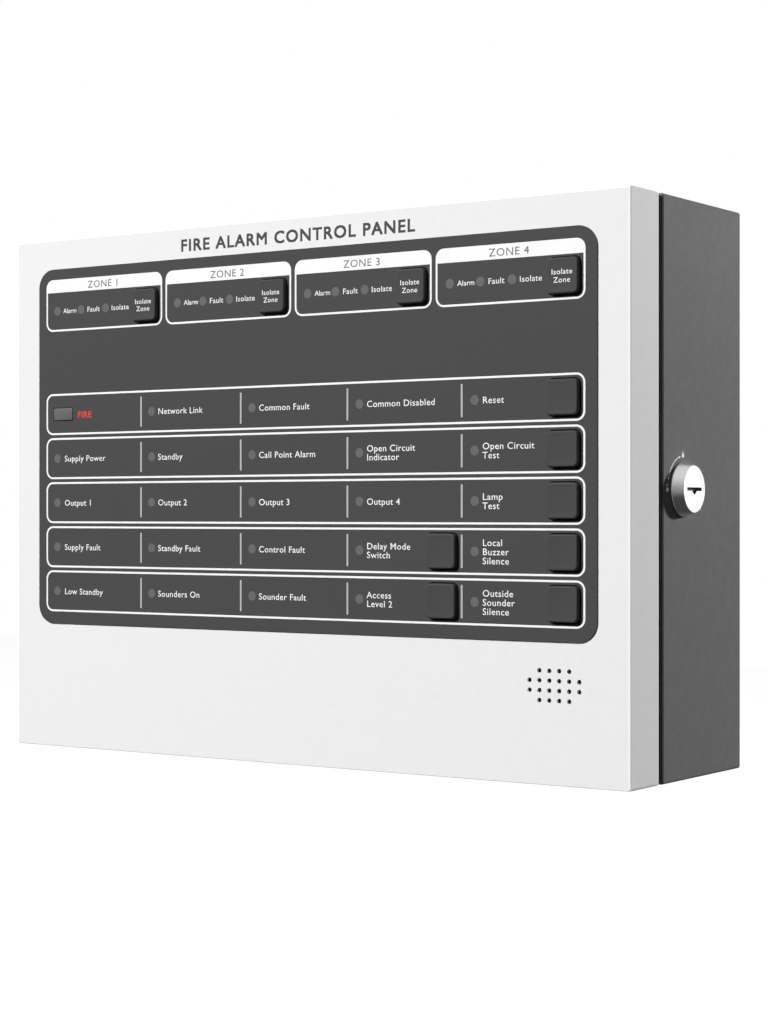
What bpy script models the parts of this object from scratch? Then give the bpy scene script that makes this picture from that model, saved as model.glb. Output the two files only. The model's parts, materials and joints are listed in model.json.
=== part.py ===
"""Wall-mounted four-zone fire alarm control panel: a grey sheet-steel back box with a white hinged door.

Frame: X to the right across the front, Y from the front to the wall, Z up. The origin is the centre of the
back box's rear face, the face that lies on the wall. Lengths are in metres.
"""

import math

import bmesh
import bpy
from mathutils import Matrix, Vector

MM = 0.001

# ---- Driving dimensions ----
PANEL_WIDTH = 380 * MM
PANEL_HEIGHT = 275 * MM
PANEL_DEPTH = 115 * MM
DOOR_DEPTH = 28.3 * MM
SEAM = 3.1 * MM  # open joint between the door's rear edge and the box's front edge
SHEET = 1.2 * MM  # folded steel
GAP = 0.3 * MM  # kept between pieces that rest on each other

LEFT_X, RIGHT_X = -PANEL_WIDTH / 2, PANEL_WIDTH / 2
TOP_Z, BOTTOM_Z = PANEL_HEIGHT / 2, -PANEL_HEIGHT / 2
FRONT_Y = -PANEL_DEPTH
DOOR_REAR_Y = FRONT_Y + DOOR_DEPTH
BOX_FRONT_Y = DOOR_REAR_Y + SEAM
BOX_FLANGE = 12 * MM
DOOR_LIP = 8 * MM
BEND_RADIUS = 1.2 * MM
OVER = 2 * MM  # how far a cutter passes the face it opens, or an addition reaches into its piece
HOLE_GAP = 0.35 * MM  # radial, round a fixed piece in its hole
RUNNING_GAP = 0.15 * MM  # radial, round a thread or a turning piece
SEAL_SIDE_INSET, SEAL_END_INSET, SEAL_WIDTH = 0.3 * MM, 1.6 * MM, 8 * MM

# ---- Face layout, measured from the face's top left corner (u to the right, v down) ----
OVERLAY_U, OVERLAY_V = 17.2 * MM, 16.7 * MM
OVERLAY_WIDTH, OVERLAY_HEIGHT = 346 * MM, 191.7 * MM
OVERLAY_CORNER = 10 * MM
OVERLAY_THICKNESS, OVERLAY_GLUE = 0.5 * MM, 0.1 * MM
ROW_PITCH = 23.87 * MM
ROW_V = [95.3 * MM + i * ROW_PITCH for i in range(5)]
COLUMN_PITCH = 66.65 * MM
LED_U = [30.6 * MM + i * COLUMN_PITCH for i in range(5)]
ZONE_V = 39.4 * MM
ZONE_PITCH = 84.2 * MM
ZONE_LED_U = [30.6 * MM, 47.7 * MM, 65.2 * MM]
ZONE_KEY_U = 93.4 * MM
KEY_U = 345.8 * MM
INNER_KEY_U = KEY_U - COLUMN_PITCH
FIRE_LENS_U = 34.8 * MM
FIRE_LENS_SIZE = (13.6 * MM, 6.6 * MM)
FIRE_LENS_PROUD, FIRE_LENS_DEPTH = 0.8 * MM, 4 * MM  # in front of and behind the door's face
LIGHT_HOLE_RADIUS = 2.6 * MM
SOUNDER_U, SOUNDER_V = 340.2 * MM, 228.7 * MM
SOUNDER_PITCH = (5.3 * MM, 4.6 * MM)
SOUNDER_ROWS = (4, 6, 6, 4)  # holes in each row
SOUNDER_HOLE_RADIUS = 1.2 * MM

# ---- Keys ----
KEY_SIZE = 17.4 * MM
KEY_CORNER = 2.6 * MM
KEY_PROUD = 2.6 * MM  # above the overlay
KEY_TRAVEL = 1.2 * MM
KEY_HOLE = KEY_SIZE + 2 * GAP
PILL_RADIUS = 4 * MM
FLANGE_FRONT_Y = FRONT_Y + SHEET + GAP  # flanges, which keep keys and the lens behind the sheet
FLANGE_THICKNESS, FLANGE_REACH = 1 * MM, 1.6 * MM
COLUMN_KEYS = (
    "key_reset",
    "key_disconnection_test",
    "key_alarm_test",
    "key_buzzer_silence",
    "key_sounder_silence",
)

# ---- Display board, behind the door's face ----
BOARD_THICKNESS = 1.6 * MM
DISPLAY_BOARD_Y = FRONT_Y + SHEET + 8.3 * MM  # its front face
DISPLAY_BOARD_X = (-171 * MM, 166 * MM)
DISPLAY_BOARD_Z = (-112 * MM, 117 * MM)
DISPLAY_STUDS = [(x, z) for x in (-166 * MM, 161 * MM) for z in (-105 * MM, 80 * MM)]
STUD_RADIUS = 1.4 * MM
STUD_END_Y = DISPLAY_BOARD_Y + 5.2 * MM
SHOULDER_RADIUS = 2.6 * MM
M3_NUT_RADIUS, M3_NUT_HEIGHT = 3.1 * MM, 2.4 * MM
LED_RADIUS, LED_FRONT_Y = 1.5 * MM, FRONT_Y + SHEET + 0.6 * MM
HEADER_SIZE, PLUG_DEPTH = (9 * MM, 32 * MM), 6 * MM
CONTROLLER_SIZE, CONTROLLER_DEPTH = (14 * MM, 14 * MM), 1.6 * MM
DRIVER_SIZE, DRIVER_DEPTH = (10 * MM, 8 * MM), 1.8 * MM
DRIVER_X, CHIP_Z = (-55 * MM, 25 * MM, 60 * MM), 20 * MM
DISPLAY_PLUG = Vector((-140 * MM, DISPLAY_BOARD_Y + BOARD_THICKNESS + PLUG_DEPTH, 25 * MM))  # its rear face
BUZZER_RADIUS, BUZZER_EDGE = 15 * MM, 1 * MM
BUZZER_PORT_RADIUS, BUZZER_PORT_DEPTH = 3 * MM, 4 * MM

# ---- Hinges, on the left side ----
HINGE_X = LEFT_X - 3.3 * MM
HINGE_Y = (DOOR_REAR_Y + BOX_FRONT_Y) / 2
HINGE_Z = (85 * MM, -85 * MM)
HINGE_HEIGHT = 50 * MM
KNUCKLE_RADIUS, KNUCKLE_CLEARANCE = 3 * MM, 0.5 * MM
HINGE_PIN_RADIUS = 1.5 * MM
PIN_HEAD_RADIUS, PIN_HEAD_HEIGHT, PIN_TAIL = 2.4 * MM, 1.2 * MM, 1 * MM
END_KNUCKLE = 15 * MM
LEAF_LENGTH = 20 * MM

# ---- Cam lock, on the right side ----
LOCK_Y, LOCK_Z = -63 * MM, 0.0
LOCK_HEAD_RADIUS, LOCK_FACE_RADIUS = 13.1 * MM, 11.2 * MM
LOCK_HEAD_LENGTH, LOCK_EDGE = 5.8 * MM, 0.4 * MM
LOCK_BASE_X = RIGHT_X + GAP
LOCK_FACE_X = LOCK_BASE_X + LOCK_HEAD_LENGTH
LOCK_BARREL_RADIUS = 9 * MM
LOCK_BARREL_END_X = 171 * MM
LOCK_NUT_RADIUS, LOCK_NUT_HEIGHT = 13.2 * MM, 4 * MM
PLUG_FACE_RADIUS, PLUG_RADIUS = 10.2 * MM, 6.5 * MM
PLUG_FACE_LENGTH, PLUG_SET_BACK = 3 * MM, 0.2 * MM
KEY_SLOT_LENGTH, KEY_SLOT_WIDTH, KEY_SLOT_DEPTH = 14.8 * MM, 1.7 * MM, 2.4 * MM
NOTCH_SIZE, NOTCH_DROP = (4.2 * MM, 3 * MM), 0.6 * MM
CAM_X = (168.4 * MM, 170.4 * MM)
CAM_LENGTH, CAM_WIDTH, CAM_SQUARE = 28 * MM, 14 * MM, 6 * MM
CAM_SCREW_RADIUS, CAM_SCREW_LENGTH = 1.5 * MM, 6 * MM
CAM_HEAD_RADIUS, CAM_SCREW_HEAD = 4.5 * MM, 2 * MM
CATCH_Z = (12 * MM, 26 * MM)
CATCH_SHEET, CATCH_CLEARANCE = 1.5 * MM, 0.5 * MM
CATCH_LIP_X, CATCH_ARM_X, CATCH_FOOT_X = 165 * MM, (172 * MM, 173.5 * MM), 186 * MM

# ---- Main board, on the box's rear wall ----
MAIN_BOARD_X = (-168 * MM, 62 * MM)
MAIN_BOARD_Z = (-20 * MM, 112 * MM)
MAIN_BOARD_Y = -13 * MM  # its front face
STANDOFF_INSET = 6 * MM
STANDOFF_RADIUS, STANDOFF_NECK_RADIUS = 3 * MM, 1.8 * MM
STANDOFF_FOOT_RADIUS, STANDOFF_FOOT_HEIGHT = 5 * MM, 1.5 * MM
SNAP_RADIUS, SNAP_TIP_RADIUS, SNAP_HEIGHT = 2.6 * MM, 1.2 * MM, 3 * MM
MAIN_PLUG = Vector((-152 * MM, MAIN_BOARD_Y - PLUG_DEPTH, 45 * MM))  # its front face
COIL_SIZE, COIL_DEPTH = (12 * MM, 12 * MM), 8 * MM
RELAY_X, RELAY_Z = (-90 * MM, -68 * MM, -46 * MM), 10 * MM
RELAY_SIZE, RELAY_DEPTH = (15.5 * MM, 19 * MM), 15 * MM
CAPACITOR_PLACES = ((30 * MM, 78 * MM), (42 * MM, 78 * MM), (10 * MM, 20 * MM), (24 * MM, 20 * MM))
CAPACITOR_RADIUS, CAPACITOR_HEIGHT = 5 * MM, 13 * MM
LEAD_SOCKET_X, LEAD_SOCKET_Z = 54 * MM, (60 * MM, 20 * MM)
LEAD_SOCKET_SIZE, LEAD_SOCKET_DEPTH = (9 * MM, 12 * MM), 9 * MM
TERMINAL_PITCH, TERMINAL_HEIGHT, TERMINAL_DEPTH = 5.08 * MM, 9 * MM, 11 * MM
POCKET_WIDTH, POCKET_DEPTH = 3.4 * MM, 2.6 * MM
POCKET_FRONT, POCKET_REAR = 5.5 * MM, 2 * MM  # in front of the strip's rear
WELL_RADIUS, WELL_DEPTH, WELL_OFFSET = 1.7 * MM, 2 * MM, 1 * MM

# ---- Power supply, batteries and entries ----
SUPPLY_X, SUPPLY_Z = (78 * MM, 160 * MM), (12 * MM, 111 * MM)
SUPPLY_DEPTH, SUPPLY_SHEET, SUPPLY_ENTRY_RADIUS = 30 * MM, 1 * MM, 3.4 * MM
VENT_ROWS, VENT_SIZE = 9, (24 * MM, 3 * MM)
VENT_X, VENT_Z, VENT_PITCH = 17 * MM, 18 * MM, 8 * MM
SUPPLY_BOARD_Y, SUPPLY_BOARD_INSET = -6 * MM, 3 * MM  # the board's front face
TRANSFORMER_SIZE, TRANSFORMER_DEPTH = (26 * MM, 28 * MM), 20 * MM
HEAT_SINK_SIZE, HEAT_SINK_DEPTH = (14 * MM, 40 * MM), 18 * MM
FILTER_SIZE, FILTER_DEPTH = (20 * MM, 14 * MM), 15 * MM
SUPPLY_SOCKET_SIZE, SUPPLY_SOCKET_DEPTH = (46 * MM, 12 * MM), 12 * MM
SUPPLY_CAPACITOR_RADIUS = 5.5 * MM
MAINS_BLOCK_DEPTH = 18 * MM
MAINS_POCKET, MAINS_POCKET_SIZE = (10 * MM, 5 * MM), (5 * MM, 8 * MM)
FUSE_END_X, FUSE_RADIUS = 150 * MM, 4.5 * MM
SUPPLY_LEAD_X, SUPPLY_LEAD_Y = (98 * MM, 122 * MM), -13 * MM
BATTERY_SIZE = Vector((151 * MM, 65 * MM, 94 * MM))
BATTERY_SPACE = 8 * MM  # between the two batteries
TAB_INSET, TAB_WIDTH, TAB_THICKNESS, TAB_HEIGHT = 14 * MM, 6.4 * MM, 0.8 * MM, 6 * MM
BRACKET_Z = (-92 * MM, -74 * MM)
BRACKET_SCREW_X, BRACKET_END_X = 167 * MM, 174 * MM
BRACKET_SCREW_RADIUS, BRACKET_HEAD_RADIUS, BRACKET_SCREW_HEAD = 1.9 * MM, 3.6 * MM, 2.2 * MM
PAN_STEP = (1.2 * MM, 0.8 * MM)  # how far the head's rim lies outside and below its crown
BATTERY_LEAD, SUPPLY_LEAD, MAINS_LEAD, EARTH_LEAD = 2.4 * MM, 3.4 * MM, 4 * MM, 2.6 * MM
GROMMET_X = (-100 * MM, -40 * MM)
KNOCKOUT_X = (40 * MM, 100 * MM)
ENTRY_Y = -42 * MM
ENTRY_RADIUS = 11 * MM
KNOCKOUT_GROOVE = 0.8 * MM
GROMMET_HOLE_RADIUS, GROMMET_REACH, GROMMET_RISE = 6.5 * MM, 2.5 * MM, 3 * MM
GROMMET_BEVEL, GROMMET_INNER_FLANGE = 1 * MM, 2 * MM
KEYHOLE_X, KEYHOLE_Z = 178 * MM, 112 * MM
KEYHOLE_RADIUS, KEYHOLE_SLOT, KEYHOLE_RISE = 4.5 * MM, 4.5 * MM, 9 * MM

EARTH_STUD_RADIUS, EARTH_NUT_RADIUS = 2.4 * MM, 4.6 * MM
EARTH_NUT_REACH = (2 * MM, 5.6 * MM)  # from the stud's free end
BOX_STUD = Vector((-178 * MM, -15 * MM, -34 * MM))  # its free end
DOOR_STUD = Vector((-177.5 * MM, FRONT_Y + 12 * MM, -78 * MM))  # its free end

REAR_INNER_Y = -SHEET
BATTERY_REAR_Y = REAR_INNER_Y - 0.8 * MM
BATTERY_FRONT_Y = BATTERY_REAR_Y - BATTERY_SIZE.y
BATTERY_BASE_Z = BOTTOM_Z + SHEET + GAP
BATTERY_TOP_Z = BATTERY_BASE_Z + BATTERY_SIZE.z


# ---- Scene and materials ----
def clear_scene():
    for obj in list(bpy.data.objects):
        bpy.data.objects.remove(obj)


def new_collection(name):
    collection = bpy.data.collections.new(name)
    bpy.context.scene.collection.children.link(collection)
    return collection


def new_material(name, color, roughness, metallic=0.0):
    material = bpy.data.materials.new(name)
    material.use_nodes = True
    shader = material.node_tree.nodes["Principled BSDF"]
    shader.inputs["Base Color"].default_value = (*color, 1.0)
    shader.inputs["Roughness"].default_value = roughness
    shader.inputs["Metallic"].default_value = metallic
    return material


clear_scene()
PARTS = new_collection("fire_alarm_control_panel")
HELPERS = new_collection("cutters_and_additions")
MATERIALS = {
    "white_paint": new_material("white_paint", (0.85, 0.85, 0.85), 0.5),
    "grey_paint": new_material("grey_paint", (0.2, 0.2, 0.205), 0.55),
    "overlay": new_material("overlay", (0.075, 0.075, 0.077), 0.45),
    "key_rubber": new_material("key_rubber", (0.065, 0.065, 0.067), 0.6),
    "seal_rubber": new_material("seal_rubber", (0.012, 0.011, 0.011), 0.8),
    "lens": new_material("lens", (0.15, 0.15, 0.15), 0.3),
    "steel": new_material("steel", (0.6, 0.6, 0.61), 0.35, 1.0),
    "chrome": new_material("chrome", (0.85, 0.85, 0.86), 0.15, 1.0),
    "board": new_material("board", (0.02, 0.16, 0.06), 0.5),
    "terminal_plastic": new_material("terminal_plastic", (0.05, 0.3, 0.12), 0.45),
    "black_plastic": new_material("black_plastic", (0.02, 0.02, 0.022), 0.5),
    "battery_plastic": new_material("battery_plastic", (0.05, 0.055, 0.065), 0.45),
    "aluminium": new_material("aluminium", (0.75, 0.76, 0.77), 0.35, 1.0),
    "nylon": new_material("nylon", (0.75, 0.74, 0.7), 0.5),
    "red_wire": new_material("red_wire", (0.55, 0.02, 0.02), 0.45),
    "black_wire": new_material("black_wire", (0.02, 0.02, 0.02), 0.45),
    "green_wire": new_material("green_wire", (0.1, 0.45, 0.06), 0.45),
    "grey_ribbon": new_material("grey_ribbon", (0.4, 0.4, 0.42), 0.5),
}


def face_x(u):
    return LEFT_X + u


def face_z(v):
    return TOP_Z - v


# ---- Modelling helpers ----
def object_of(name, mesh, material):
    obj = bpy.data.objects.new(name, mesh)
    mesh.materials.append(MATERIALS[material])
    PARTS.objects.link(obj)
    return obj


def mesh_of(name, bm):
    mesh = bpy.data.meshes.new(name)
    bmesh.ops.recalc_face_normals(bm, faces=bm.faces[:])
    bm.to_mesh(mesh)
    bm.free()
    return mesh


def piece_of(name, bm, material):
    return object_of(name, mesh_of(name, bm), material)


def helper_of(name, bm):
    """A hidden object that a Boolean cuts away or adds."""
    obj = bpy.data.objects.new(name, mesh_of(name, bm))
    obj.hide_render = True
    obj.display_type = "WIRE"
    HELPERS.objects.link(obj)
    return obj


def add_box(bm, low, high):
    low, high = Vector(low), Vector(high)
    size = high - low
    matrix = Matrix.Translation((low + high) / 2) @ Matrix.Diagonal((*size, 1))
    return bmesh.ops.create_cube(bm, size=1, matrix=matrix)["verts"]


def add_block(bm, centre, size, low_y, high_y):
    """A box given by its centre and size in X and Z, and its two ends in Y."""
    (x, z), (width, height) = centre, size
    add_box(bm, (x - width / 2, low_y, z - height / 2), (x + width / 2, high_y, z + height / 2))


def add_cylinder(bm, start, end, radius, segments=16, end_radius=None):
    start, end = Vector(start), Vector(end)
    along = end - start
    turn = along.to_track_quat("Z", "Y").to_matrix().to_4x4()
    return bmesh.ops.create_cone(
        bm,
        cap_ends=True,
        segments=segments,
        radius1=radius,
        radius2=radius if end_radius is None else end_radius,
        depth=along.length,
        matrix=Matrix.Translation((start + end) / 2) @ turn,
    )["verts"]


def add_rounded_slab(bm, centre, size, corner, segments=3):
    """A box whose four edges along Y are rounded."""
    half = Vector(size) / 2
    verts = add_box(bm, Vector(centre) - half, Vector(centre) + half)
    edges = {e for v in verts for e in v.link_edges}
    along_y = [e for e in edges if abs((e.verts[0].co - e.verts[1].co).y) > size[1] / 2]
    bmesh.ops.bevel(bm, geom=along_y, offset=corner, segments=segments, affect="EDGES", profile=0.5)


def add_round_edges(obj, width, segments=2):
    bevel = obj.modifiers.new("round_edges", "BEVEL")
    bevel.width = width
    bevel.segments = segments
    bevel.limit_method = "ANGLE"
    bevel.angle_limit = math.radians(40)
    return bevel


def boolean(obj, operation, name, bm):
    modifier = obj.modifiers.new(name, "BOOLEAN")
    modifier.operation = operation
    modifier.solver = "EXACT"
    modifier.object = helper_of(f"{obj.name}_{name}", bm)


def cut(obj, name, bm):
    boolean(obj, "DIFFERENCE", name, bm)


def add_on(obj, name, bm):
    boolean(obj, "UNION", name, bm)


def folded_tray(name, low, high, open_side, lip, material):
    """A folded sheet tray. open_side is +1 where its mouth faces +Y and -1 where it faces -Y."""
    bm = bmesh.new()
    add_box(bm, low, high)
    bm.normal_update()
    mouth = [f for f in bm.faces if f.normal.y * open_side > 0.5]
    bmesh.ops.inset_region(bm, faces=mouth, thickness=lip, use_even_offset=True)
    bmesh.ops.delete(bm, geom=mouth, context="FACES")
    tray = piece_of(name, bm, material)
    add_round_edges(tray, BEND_RADIUS)
    solidify = tray.modifiers.new("sheet", "SOLIDIFY")
    solidify.thickness = SHEET
    solidify.offset = -1
    solidify.use_even_offset = True
    return tray


def turned(name, profile, material, origin, axis, segments=24):
    """A turned piece. profile holds (radius, height) pairs; it ends on the axis, or closes to make a ring."""
    following = profile[1:] + profile[:1]
    if sum(r * next_h - next_r * h for (r, h), (next_r, next_h) in zip(profile, following)) > 0:
        profile = profile[::-1]
    edges = [(i, i + 1) for i in range(len(profile) - 1)]
    if profile[0][0] > 0:
        edges.append((len(profile) - 1, 0))
    mesh = bpy.data.meshes.new(name)
    mesh.from_pydata([(r, 0, h) for r, h in profile], edges, [])
    obj = object_of(name, mesh, material)
    obj.location = origin
    obj.rotation_mode = "QUATERNION"
    obj.rotation_quaternion = Vector(axis).to_track_quat("Z", "Y")
    screw = obj.modifiers.new("turn", "SCREW")
    screw.steps = segments
    screw.render_steps = segments
    screw.use_merge_vertices = True
    screw.merge_threshold = 0.01 * MM
    return obj


def smooth_route(points, spacing):
    """Points read at an even spacing from the Catmull-Rom curve through the given ones."""
    points = [Vector(p) for p in points]
    padded = [2 * points[0] - points[1], *points, 2 * points[-1] - points[-2]]
    dense = []
    for i in range(1, len(padded) - 2):
        a, b, c, d = padded[i - 1 : i + 3]
        for step in range(16):
            t = step / 16
            square_term = (2 * a - 5 * b + 4 * c - d) * t**2
            cube_term = (3 * b - a - 3 * c + d) * t**3
            dense.append(0.5 * (2 * b + (c - a) * t + square_term + cube_term))
    dense.append(points[-1])
    length = sum((b - a).length for a, b in zip(dense, dense[1:]))
    count = max(2, round(length / spacing))
    route, walked, target = [dense[0]], 0.0, length / count
    for a, b in zip(dense, dense[1:]):
        step = (b - a).length
        while walked + step >= target and len(route) < count:
            route.append(a.lerp(b, (target - walked) / step))
            target += length / count
        walked += step
    route.append(dense[-1])
    return route


def wire(name, points, diameter, material, spacing=None):
    """A round lead along a smooth route."""
    curve = bpy.data.curves.new(name, "CURVE")
    curve.dimensions = "3D"
    curve.bevel_depth = diameter / 2
    curve.bevel_resolution = 2
    curve.use_fill_caps = True
    route = smooth_route(points, spacing or 4.5 * diameter)
    spline = curve.splines.new("POLY")
    spline.points.add(len(route) - 1)
    for point, place in zip(spline.points, route):
        point.co = (*place, 1)
    curve.materials.append(MATERIALS[material])
    obj = bpy.data.objects.new(name, curve)
    PARTS.objects.link(obj)
    return obj


def joint_empty(name, place, parent=None):
    """An empty on a joint's axis; the pieces that move on the joint are its children."""
    empty = bpy.data.objects.new(name, None)
    empty.location = place
    PARTS.objects.link(empty)
    if parent:
        hold(empty, parent)
    return empty


def hold(obj, empty):
    """Parents a piece to a joint's empty and leaves it where it is."""
    place = Vector(empty.location)
    obj.parent = empty
    obj.matrix_parent_inverse = Matrix.Translation(-place)


# ---- Back box ----
def keyhole_places():
    return [(x, z) for x in (-KEYHOLE_X, KEYHOLE_X) for z in (-KEYHOLE_Z, KEYHOLE_Z)]


def keyhole_cutter():
    bm = bmesh.new()
    for x, z in keyhole_places():
        add_cylinder(bm, (x, REAR_INNER_Y - OVER, z), (x, OVER, z), KEYHOLE_RADIUS, 12)
    return bm


def keyhole_slot_cutter():
    """The narrow slot above each keyhole, which the screw's shank slides up into."""
    bm = bmesh.new()
    half = KEYHOLE_SLOT / 2
    for x, z in keyhole_places():
        add_box(bm, (x - half, REAR_INNER_Y - OVER, z), (x + half, OVER, z + KEYHOLE_RISE))
    return bm


def entry_cutter():
    """Round holes through the top wall for the two cable grommets, and the lock's hole in the right wall."""
    bm = bmesh.new()
    for x in GROMMET_X:
        add_cylinder(bm, (x, ENTRY_Y, TOP_Z - SHEET - OVER), (x, ENTRY_Y, TOP_Z + OVER), ENTRY_RADIUS, 16)
    wall = (RIGHT_X - SHEET - OVER, LOCK_Y, LOCK_Z), (RIGHT_X + OVER, LOCK_Y, LOCK_Z)
    add_cylinder(bm, *wall, LOCK_BARREL_RADIUS + HOLE_GAP, 24)
    return bm


def knockout_discs(radius, low_z, high_z):
    bm = bmesh.new()
    for x in KNOCKOUT_X:
        add_cylinder(bm, (x, ENTRY_Y, low_z), (x, ENTRY_Y, high_z), radius, 16)
    return bm


def rear_hole_cutter():
    """Threaded holes for the battery bracket's screws."""
    bm = bmesh.new()
    for x, z in bracket_screw_places():
        add_cylinder(bm, (x, REAR_INNER_Y - OVER, z), (x, OVER, z), BRACKET_SCREW_RADIUS + RUNNING_GAP, 12)
    return bm


def make_back_box():
    low = (LEFT_X, BOX_FRONT_Y, BOTTOM_Z)
    box = folded_tray("back_box", low, (RIGHT_X, 0, TOP_Z), -1, BOX_FLANGE, "grey_paint")
    cut(box, "keyholes", keyhole_cutter())
    cut(box, "keyhole_slots", keyhole_slot_cutter())
    cut(box, "entries", entry_cutter())
    cut(box, "bracket_screw_holes", rear_hole_cutter())
    half_sheet = TOP_Z - SHEET / 2
    cut(box, "knockout_grooves", knockout_discs(ENTRY_RADIUS, half_sheet, TOP_Z + OVER))
    disc_radius = ENTRY_RADIUS - KNOCKOUT_GROOVE
    add_on(box, "knockouts", knockout_discs(disc_radius, half_sheet - SHEET / 4, TOP_Z))
    stud = bmesh.new()
    add_cylinder(stud, (BOX_STUD.x, -SHEET / 2, BOX_STUD.z), BOX_STUD, EARTH_STUD_RADIUS, 12)
    add_on(box, "earth_stud", stud)


def make_earth_nut(name, stud, toward_base):
    """A hexagon nut near a stud's free end. toward_base is +1 where the stud's base is on its +Y side."""
    near, far = (stud.y + toward_base * reach for reach in EARTH_NUT_REACH)
    bm = bmesh.new()
    add_cylinder(bm, (stud.x, near, stud.z), (stud.x, far, stud.z), EARTH_NUT_RADIUS, 6)
    nut = piece_of(name, bm, "steel")
    bore = bmesh.new()
    over = toward_base * OVER
    radius = EARTH_STUD_RADIUS + RUNNING_GAP
    add_cylinder(bore, (stud.x, near - over, stud.z), (stud.x, far + over, stud.z), radius, 12)
    cut(nut, "bore", bore)


def make_door_seal():
    """A flat rubber ring in the joint, almost flush with the sides and set in from the top and bottom."""
    low_y, high_y = DOOR_REAR_Y + GAP, BOX_FRONT_Y - GAP
    outer = Vector((RIGHT_X - SEAL_SIDE_INSET, 0, TOP_Z - SEAL_END_INSET))
    inner = outer - Vector((SEAL_WIDTH, 0, SEAL_WIDTH))
    bm = bmesh.new()
    add_box(bm, (-outer.x, low_y, -outer.z), (outer.x, high_y, outer.z))
    seal = piece_of("door_seal", bm, "seal_rubber")
    opening = bmesh.new()
    add_box(opening, (-inner.x, low_y - OVER, -inner.z), (inner.x, high_y + OVER, inner.z))
    cut(seal, "opening", opening)


def make_grommets():
    """Rubber grommets: a groove sits round the sheet's edge, and the cable hole is open."""
    flange = ENTRY_RADIUS + GROMMET_REACH
    neck = ENTRY_RADIUS - HOLE_GAP
    above, below = GAP, -SHEET - GAP
    profile = [
        (GROMMET_HOLE_RADIUS, GROMMET_RISE),
        (flange - GROMMET_BEVEL, GROMMET_RISE),
        (flange, GROMMET_RISE - GROMMET_BEVEL),
        (flange, above),
        (neck, above),
        (neck, below),
        (flange, below),
        (flange, below - GROMMET_INNER_FLANGE),
        (GROMMET_HOLE_RADIUS, below - GROMMET_INNER_FLANGE),
    ]
    for name, x in zip(("cable_grommet_left", "cable_grommet_right"), GROMMET_X):
        turned(name, profile, "seal_rubber", (x, ENTRY_Y, TOP_Z), (0, 0, 1), 16)


# ---- Door ----
def key_places():
    """(name, x, z) of each key."""
    zones = [(f"key_zone_{i + 1}_disable", ZONE_KEY_U + i * ZONE_PITCH, ZONE_V) for i in range(4)]
    column = [(name, KEY_U, v) for name, v in zip(COLUMN_KEYS, ROW_V)]
    inner = [("key_delay", INNER_KEY_U, ROW_V[3]), ("key_access", INNER_KEY_U, ROW_V[4])]
    return [(name, face_x(u), face_z(v)) for name, u, v in zones + column + inner]


def led_places():
    """(x, z) of each round indicator; the first place of the first row holds the fire lens instead."""
    zones = [(u + i * ZONE_PITCH, ZONE_V) for i in range(4) for u in ZONE_LED_U]
    rows = [(u, v) for v in ROW_V for u in LED_U if (u, v) != (LED_U[0], ROW_V[0])]
    return [(face_x(u), face_z(v)) for u, v in zones + rows]


def sounder_places():
    places = []
    for row, count in enumerate(SOUNDER_ROWS):
        v = SOUNDER_V + (row - (len(SOUNDER_ROWS) - 1) / 2) * SOUNDER_PITCH[1]
        for i in range(count):
            u = SOUNDER_U + (i - (count - 1) / 2) * SOUNDER_PITCH[0]
            places.append((face_x(u), face_z(v)))
    return places


def key_hole_cutter():
    """Square holes through the door's face and the overlay on it."""
    bm = bmesh.new()
    for _, x, z in key_places():
        add_rounded_slab(bm, (x, FRONT_Y, z), (KEY_HOLE, 3 * OVER, KEY_HOLE), KEY_CORNER, 2)
    return bm


def lens_cutter():
    width, height = FIRE_LENS_SIZE
    centre = Vector((face_x(FIRE_LENS_U), FRONT_Y, face_z(ROW_V[0])))
    half = Vector((width / 2 + GAP, SHEET + OVER, height / 2 + GAP))
    bm = bmesh.new()
    add_box(bm, centre - half, centre + half)
    return bm


def light_hole_cutter():
    """The holes in front of the indicators and the sounder's perforations, through the door's face only."""
    low_y, high_y = FRONT_Y - OVER, FRONT_Y + SHEET + OVER
    bm = bmesh.new()
    for x, z in led_places():
        add_cylinder(bm, (x, low_y, z), (x, high_y, z), LIGHT_HOLE_RADIUS, 6)
    for x, z in sounder_places():
        add_cylinder(bm, (x, low_y, z), (x, high_y, z), SOUNDER_HOLE_RADIUS, 8)
    return bm


def make_door_panel():
    low = (LEFT_X, FRONT_Y, BOTTOM_Z)
    door = folded_tray("door_panel", low, (RIGHT_X, DOOR_REAR_Y, TOP_Z), 1, DOOR_LIP, "white_paint")
    cut(door, "key_holes", key_hole_cutter())
    cut(door, "light_holes", light_hole_cutter())
    cut(door, "lens_hole", lens_cutter())
    inside_sheet = FRONT_Y + SHEET / 2
    studs = bmesh.new()
    for x, z in DISPLAY_STUDS:
        add_cylinder(studs, (x, inside_sheet, z), (x, STUD_END_Y, z), STUD_RADIUS, 10)
    add_cylinder(studs, (DOOR_STUD.x, inside_sheet, DOOR_STUD.z), DOOR_STUD, EARTH_STUD_RADIUS, 12)
    add_on(door, "studs", studs)
    shoulders = bmesh.new()
    for x, z in DISPLAY_STUDS:
        add_cylinder(shoulders, (x, inside_sheet, z), (x, DISPLAY_BOARD_Y - GAP, z), SHOULDER_RADIUS, 10)
    add_on(door, "stud_shoulders", shoulders)


def make_front_overlay():
    rear = FRONT_Y - OVERLAY_GLUE
    centre_x = face_x(OVERLAY_U + OVERLAY_WIDTH / 2)
    centre_z = face_z(OVERLAY_V + OVERLAY_HEIGHT / 2)
    bm = bmesh.new()
    size = (OVERLAY_WIDTH, OVERLAY_THICKNESS, OVERLAY_HEIGHT)
    add_rounded_slab(bm, (centre_x, rear - OVERLAY_THICKNESS / 2, centre_z), size, OVERLAY_CORNER, 8)
    overlay = piece_of("front_overlay", bm, "overlay")
    cut(overlay, "key_holes", key_hole_cutter())
    cut(overlay, "lens_hole", lens_cutter())


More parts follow.
